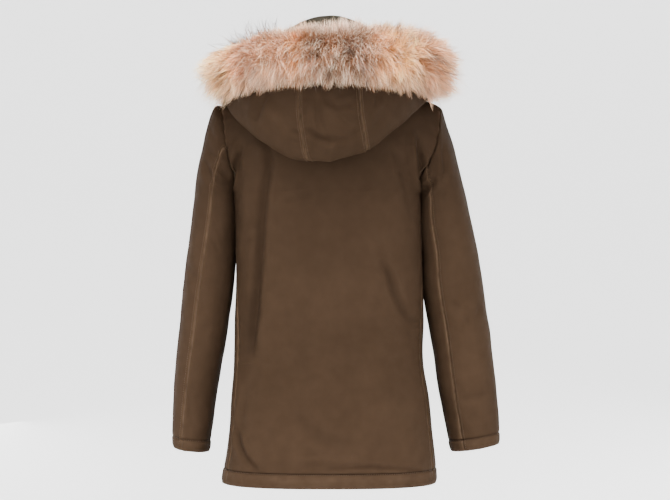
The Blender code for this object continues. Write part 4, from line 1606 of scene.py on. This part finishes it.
@dataclass
class FurTrim:
    """The fur round the hood's face edge: a soft undercoat, three spans of clumped hair, and guard hairs.

    Angles run round the edge from the middle of the back, 0, to the wearer's left, 90. A hair's lean is its
    angle round the edge's own line: 0 points outward, 90 up and -90 down.
    """

    wardrobe: Wardrobe
    end: float = 136.0
    seed: int = 11
    clump_size: int = 32
    hair_points: int = 4
    fringe_colour: Colour = (0.88, 0.56, 0.36)
    crown_colour: Colour = (0.95, 0.66, 0.47)
    pale_tip: Colour = (1.0, 0.82, 0.61)
    dark_tip: Colour = (0.11, 0.055, 0.032)
    guard_tip: Colour = (0.075, 0.055, 0.048)
    pale_tip_share: float = 0.45
    dark_tip_share: float = 0.17
    reach: dict[str, Track] = field(
        default_factory=lambda: tracks(
            "out up down inward",
            (-136, 0.026, 0.026, 0.026, 0.014),
            (-124, 0.054, 0.044, 0.050, 0.024),
            (-110, 0.078, 0.054, 0.070, 0.030),
            (-90, 0.091, 0.060, 0.080, 0.034),
            (-70, 0.087, 0.064, 0.067, 0.036),
            (-45, 0.070, 0.060, 0.062, 0.038),
            (-20, 0.062, 0.056, 0.056, 0.040),
            (0, 0.060, 0.055, 0.053, 0.040),
            (20, 0.060, 0.051, 0.055, 0.040),
            (40, 0.064, 0.042, 0.061, 0.038),
            (60, 0.072, 0.033, 0.066, 0.036),
            (80, 0.080, 0.031, 0.080, 0.034),
            (100, 0.078, 0.034, 0.086, 0.032),
            (124, 0.054, 0.030, 0.064, 0.024),
            (136, 0.024, 0.020, 0.024, 0.014),
        )
    )
    tint: dict[str, Track] = field(
        default_factory=lambda: tracks(
            "red green blue",
            (-136, 0.95, 0.58, 0.35),
            (-95, 0.97, 0.60, 0.36),
            (-80, 0.70, 0.36, 0.19),
            (-68, 0.80, 0.39, 0.19),
            (-58, 0.60, 0.26, 0.12),
            (-47, 0.97, 0.50, 0.22),
            (-36, 0.97, 0.44, 0.14),
            (-27, 0.84, 0.38, 0.16),
            (-18, 0.42, 0.19, 0.10),
            (-10, 0.27, 0.115, 0.058),
            (0, 0.25, 0.102, 0.047),
            (10, 0.30, 0.122, 0.055),
            (18, 0.62, 0.24, 0.085),
            (26, 0.56, 0.25, 0.12),
            (32, 0.62, 0.29, 0.14),
            (42, 0.52, 0.22, 0.11),
            (50, 0.76, 0.33, 0.14),
            (62, 0.98, 0.53, 0.23),
            (90, 0.99, 0.62, 0.33),
            (136, 0.95, 0.58, 0.35),
        )
    )

    def radius(self, degrees: Array, lean: Array) -> Array:
        """How far the fur reaches from the edge's line."""
        out = np.where(np.cos(lean) >= 0, self.reach["out"](degrees), self.reach["inward"](degrees))
        tall = np.where(np.sin(lean) >= 0, self.reach["up"](degrees), self.reach["down"](degrees))
        return 1 / np.hypot(np.cos(lean) / out, np.sin(lean) / tall)

    def point(self, degrees: Array, lean: Array, radius: Array) -> Array:
        """Points round the edge's line, kept outside the hood's cloth where they hang over it."""
        degrees = np.clip(degrees, -self.end - 2, self.end + 2)
        middle, outward, upward, _ = self.wardrobe.hood.edge_frame(degrees)
        out, up = radius * np.cos(lean), radius * np.sin(lean)
        over = (lean > -1.75) & (up < 0)
        out = np.where(over, np.maximum(out, 0.003 - 0.36 * up), out)
        return middle + outward * out[..., None] + upward * up[..., None]

    def coat(self, degrees: Array, lean: Array) -> Array:
        """The coat's colour at a place, with painted light on its top and painted shade on its underside.
        """
        base = joined(*(self.tint[name](degrees) for name in ("red", "green", "blue")))
        fringe = ease(0.25, 1.1, -lean)
        aside = ease(14, 42, np.abs(degrees))
        base = mix(base, np.array(self.fringe_colour), ((0.28 + 0.24 * aside) * fringe)[..., None])
        # Painted light: the top of the coat is paler, where light from above falls on it.
        painted_crown_light = ease(0.75, 1.5, lean) * (1 - ease(2.0, 2.5, lean))
        base = mix(base, np.array(self.crown_colour), 0.62 * painted_crown_light[..., None])
        # Painted shade: the underside of the coat is darker, most towards the back.
        painted_underside_shade = ease(0.5, 1.4, -lean) * (1 - ease(45, 85, np.abs(degrees)))
        base = base * (1 - 0.42 * painted_underside_shade[..., None])
        patch = ripple(degrees + 9 * np.sin(2 * lean), 23.0, 0.6)
        patch = patch + 0.6 * ripple(lean * 30 + degrees, 17.0, 2.2)
        return base * (1 + 0.17 * patch[..., None])

    def undercoat(self) -> bpy.types.Object:
        """The dense short fur that the long hair stands in."""
        turns, sides = 141, 28
        degrees = np.linspace(-self.end, self.end, turns)[:, None] + np.zeros((turns, sides))
        lean = np.linspace(-math.pi, math.pi, sides, endpoint=False) + np.zeros((turns, sides))
        lump = 1 + 0.10 * ripple(degrees * 3 + lean * 20, 11.0, 0.9)
        lump += 0.07 * ripple(lean * 40 - degrees, 7.0, 3.3)
        close = np.sqrt(np.clip((self.end + 0.5 - np.abs(degrees)) / 9, 0.02, 1))
        points = self.point(degrees, lean, self.radius(degrees, lean) * 0.56 * lump * close)
        ids = np.arange(turns * sides).reshape(turns, sides)
        ids = np.concatenate([ids, ids[:, :1]], axis=1)
        faces = quads(ids).tolist()
        faces += [ids[0, :-1].tolist(), ids[-1, -2::-1].tolist()]
        piece = mesh_object("fur_undercoat", points, faces, (self.wardrobe.undercoat,))
        # Painted shade: the undercoat is darkened, as deep under the long hair.
        shade = self.coat(degrees, lean) * 0.45
        give_attribute(piece, "tint", "FLOAT_COLOR", with_alpha(shade))
        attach(piece, BODY)
        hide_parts("fur_trim")
        return piece

    def hairs(
        self,
        name: str,
        count: int,
        span: tuple[float, float],
        leans: tuple[float, float],
        width: float,
        length: float,
        guard: bool = False,
    ) -> bpy.types.Object:
        """One span of hair, as tapered ribbons gathered in clumps.

        Args:
            name: the piece's name.
            count: how many hairs.
            span: the lowest and highest angle round the edge.
            leans: the lowest and highest lean.
            width: a hair's width in metres.
            length: its length as a share of the fur's reach.
            guard: whether these are the long dark guard hairs.

        Returns:
            The piece.
        """
        rng = np.random.default_rng(self.seed + len(name) + count)
        clumps = max(count // (3 if guard else self.clump_size), 1)
        clump_degrees, clump_lean = rng.uniform(*span, clumps), rng.uniform(*leans, clumps)
        clump_bend, clump_length = rng.normal(0, 0.24, clumps), rng.normal(0.98, 0.10, clumps)
        clump_tint = 1 + rng.normal(0, 0.26, (clumps, 1)) + rng.normal(0, 0.02, (clumps, 3))
        of = rng.integers(0, clumps, count)
        root_degrees = clump_degrees[of] + rng.normal(0, 2.6, count)
        root_lean = clump_lean[of] + rng.normal(0, 0.17, count)
        sway = rng.normal(0, 2.4, clumps)[of]
        tip_degrees = mix(root_degrees, clump_degrees[of], 0.7) + sway + rng.normal(0, 0.8, count)
        tip_lean = mix(root_lean, clump_lean[of], 0.7) + clump_bend[of] + rng.normal(0, 0.06, count)
        tip_degrees += np.sign(tip_degrees) * 4.0 * ease(40, 95, np.abs(tip_degrees))
        size = clump_length[of] * length * (1.04 - 0.34 * rng.uniform(0, 1, count) ** 1.5)
        share = np.linspace(0, 1, self.hair_points)[None, :]
        degrees = mix(root_degrees[:, None], tip_degrees[:, None], share**1.3)
        lean = mix(root_lean[:, None], tip_lean[:, None], share**1.6)
        full = self.radius(degrees, lean) * size[:, None]
        radius = mix(0.30 * full, full, share)
        points = self.point(degrees, lean, radius)
        points[..., 2] -= 0.20 * full * share**2 * np.abs(np.cos(lean))
        forward = unit(np.gradient(points, axis=1))
        _, outward, _, _ = self.wardrobe.hood.edge_frame(np.clip(root_degrees, -self.end, self.end))
        faced = unit(outward + np.array((0, 0, 0.45)) + rng.normal(0, 0.35, (count, 3)))[:, None, :]
        aside = unit(np.cross(forward, np.broadcast_to(faced, forward.shape)))
        taper = np.interp(share[0], (0, 0.25, 0.7, 1), (0.75, 1, 0.72, 0))
        half = aside * (0.5 * width * taper * (1 + rng.normal(0, 0.2, (count, 1))))[..., None]
        last = self.hair_points - 1
        sides = np.stack([points[:, :last] - half[:, :last], points[:, :last] + half[:, :last]], axis=2)
        vertices = np.concatenate([sides.reshape(count, -1, 3), points[:, last:]], axis=1)
        each = vertices.shape[1]
        strip = [[2 * k, 2 * k + 1, 2 * k + 3, 2 * k + 2] for k in range(last - 1)]
        base = (np.arange(count) * each)[:, None, None]
        faces = (np.array(strip)[None] + base).reshape(-1, 4).tolist()
        faces += (np.array([[each - 3, each - 2, each - 1]])[None] + base).reshape(-1, 3).tolist()
        piece = mesh_object(name, vertices, faces, (self.wardrobe.hair,))
        colour = self.coat(degrees, lean) * clump_tint[of][:, None, :]
        if guard:
            dark = np.array(self.guard_tip) * (1 + rng.normal(0, 0.3, (count, 1, 1)))
            colour = mix(colour, dark, ease(0.25, 0.6, share)[..., None])
        else:
            # Painted shade deep in the coat: each hair is darker towards its root.
            colour = colour * mix(0.29, 1.08, share**0.9)[..., None]
            pale = (rng.uniform(0, 1, count) < self.pale_tip_share)[:, None] * ease(0.6, 1.0, share)
            colour = mix(colour, np.array(self.pale_tip), 0.8 * pale[..., None])
            dark = (rng.uniform(0, 1, count) < self.dark_tip_share)[:, None] * ease(0.55, 0.9, share)
            colour = mix(colour, np.array(self.dark_tip), 0.8 * dark[..., None])
        paired = np.repeat(colour[:, :last], 2, axis=1)
        tint = np.concatenate([paired, colour[:, last:]], axis=1)
        give_attribute(piece, "tint", "FLOAT_COLOR", with_alpha(tint))
        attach(piece, BODY)
        log.info("%s: %d hairs", name, count)
        return piece

    def build(self) -> list[bpy.types.Object]:
        """Makes the whole trim."""
        outside = (-1.75, 2.2)
        made = [
            self.undercoat(),
            self.hairs("fur_hair_back", 36000, (-42, 42), outside, 0.00095, 1.0),
            self.hairs("fur_hair_left", 27000, (38, 134), outside, 0.0011, 1.0),
            self.hairs("fur_hair_right", 27000, (-134, -38), outside, 0.0011, 1.0),
            self.hairs("fur_hair_inside", 5500, (-132, 132), (2.1, 4.4), 0.0016, 1.0),
            self.hairs("fur_guard_all", 2400, (-125, 125), (-1.4, 2.0), 0.0009, 1.10, guard=True),
            self.hairs("fur_guard_left", 420, (36, 84), (1.0, 1.9), 0.0009, 1.55, guard=True),
        ]
        return made


def with_alpha(colour: Array) -> Array:
    """Colours as rows of four, held between 0 and 1."""
    colour = np.clip(colour.reshape(-1, 3), 0, 1)
    return np.concatenate([colour, np.ones((len(colour), 1))], axis=1)


@dataclass
class Studio:
    """The pale round floor that turns up into a far wall, the soft lights and the camera."""

    eye: tuple[float, float, float] = (0.0, 3.0, -0.309)
    target: tuple[float, float, float] = (-0.009, 0.0, -0.309)
    lens: float = 88.0
    lit_point: tuple[float, float, float] = (0.0, 0.0, -0.3)
    air_glow: float = 0.3
    floor_sides: int = 96
    floor_z: float = -1.25
    bend: tuple[float, float, float] = (2.2, 5.2, 3.6)
    wall_top: float = 6.5
    lights: tuple[tuple[str, tuple[float, float, float], float, float], ...] = (
        ("key", (2.4, 3.0, 0.5), 1.6, 80.0),
        ("fill", (-2.2, 3.2, -0.9), 2.2, 75.0),
        ("top", (0.2, 1.3, 2.5), 1.6, 300.0),
        ("front_key", (-2.4, -3.0, 0.5), 1.6, 80.0),
        ("front_fill", (2.2, -3.2, -0.9), 2.2, 75.0),
    )

    def build(self) -> None:
        """Makes the floor, lights, air and camera."""
        start, reach, rise = self.bend
        bend = np.radians(np.linspace(0, 90, 25))
        radii = [0.3, 1.2, *(start + reach * np.sin(bend)), start + reach]
        heights = [self.floor_z, self.floor_z, *(self.floor_z + rise * (1 - np.cos(bend))), self.wall_top]
        rings = turned(list(zip(radii, heights)), self.floor_sides)
        ids = np.arange(len(rings) * self.floor_sides).reshape(len(rings), self.floor_sides)
        faces = quads(np.concatenate([ids, ids[:, :1]], axis=1)).tolist() + [ids[0].tolist()]
        floor = mesh_object("floor", np.concatenate(rings), faces, (StudioFinish().build(),))
        for name, place, size, power in self.lights:
            data = bpy.data.lights.new(name, "AREA")
            data.size, data.energy = size, power
            placed(name, data, place, self.lit_point)
        air = bpy.data.worlds.new("air")
        air.use_nodes = True
        background = air.node_tree.nodes["Background"].inputs
        background["Color"].default_value = (1.0, 1.0, 1.0, 1.0)
        background["Strength"].default_value = self.air_glow
        bpy.context.scene.world = air
        data = bpy.data.cameras.new("camera")
        data.lens, data.sensor_width = self.lens, 36.0
        bpy.context.scene.camera = placed("camera", data, self.eye, self.target)


def main() -> None:
    """Builds the parka piece by piece."""
    logging.basicConfig(level=logging.INFO, format="%(name)s: %(message)s")
    body = BodyForm()
    wardrobe = Wardrobe(
        cloth=SateenFinish().build(),
        lining=LiningFinish().build(),
        thread=ThreadFinish().build(),
        undercoat=FurFinish("fur_undercoat").build(),
        hair=FurFinish("fur_hair").build(),
        metal=StudFinish().build(),
        body=body,
        hood=HoodForm(body),
    )
    stitches = {name: Stitching(f"stitches_{name}") for name in ("body", "sleeves", "hood", "front")}
    panels = BodyPanels(wardrobe, stitches["body"])
    assemblies = [panels]
    assemblies += [Sleeve(wardrobe, stitches["sleeves"], side) for side in Side]
    assemblies += [Hood(wardrobe, stitches["hood"]), FrontClosure(wardrobe, stitches["front"], panels)]
    assemblies.append(FurTrim(wardrobe))
    for assembly in assemblies:
        made = assembly.build()
        log.info("%s: %s", type(assembly).__name__, ", ".join(piece.name for piece in made))
    for rows in stitches.values():
        rows.build(wardrobe.thread)
    Studio().build()


if __name__ == "__main__":
    main()
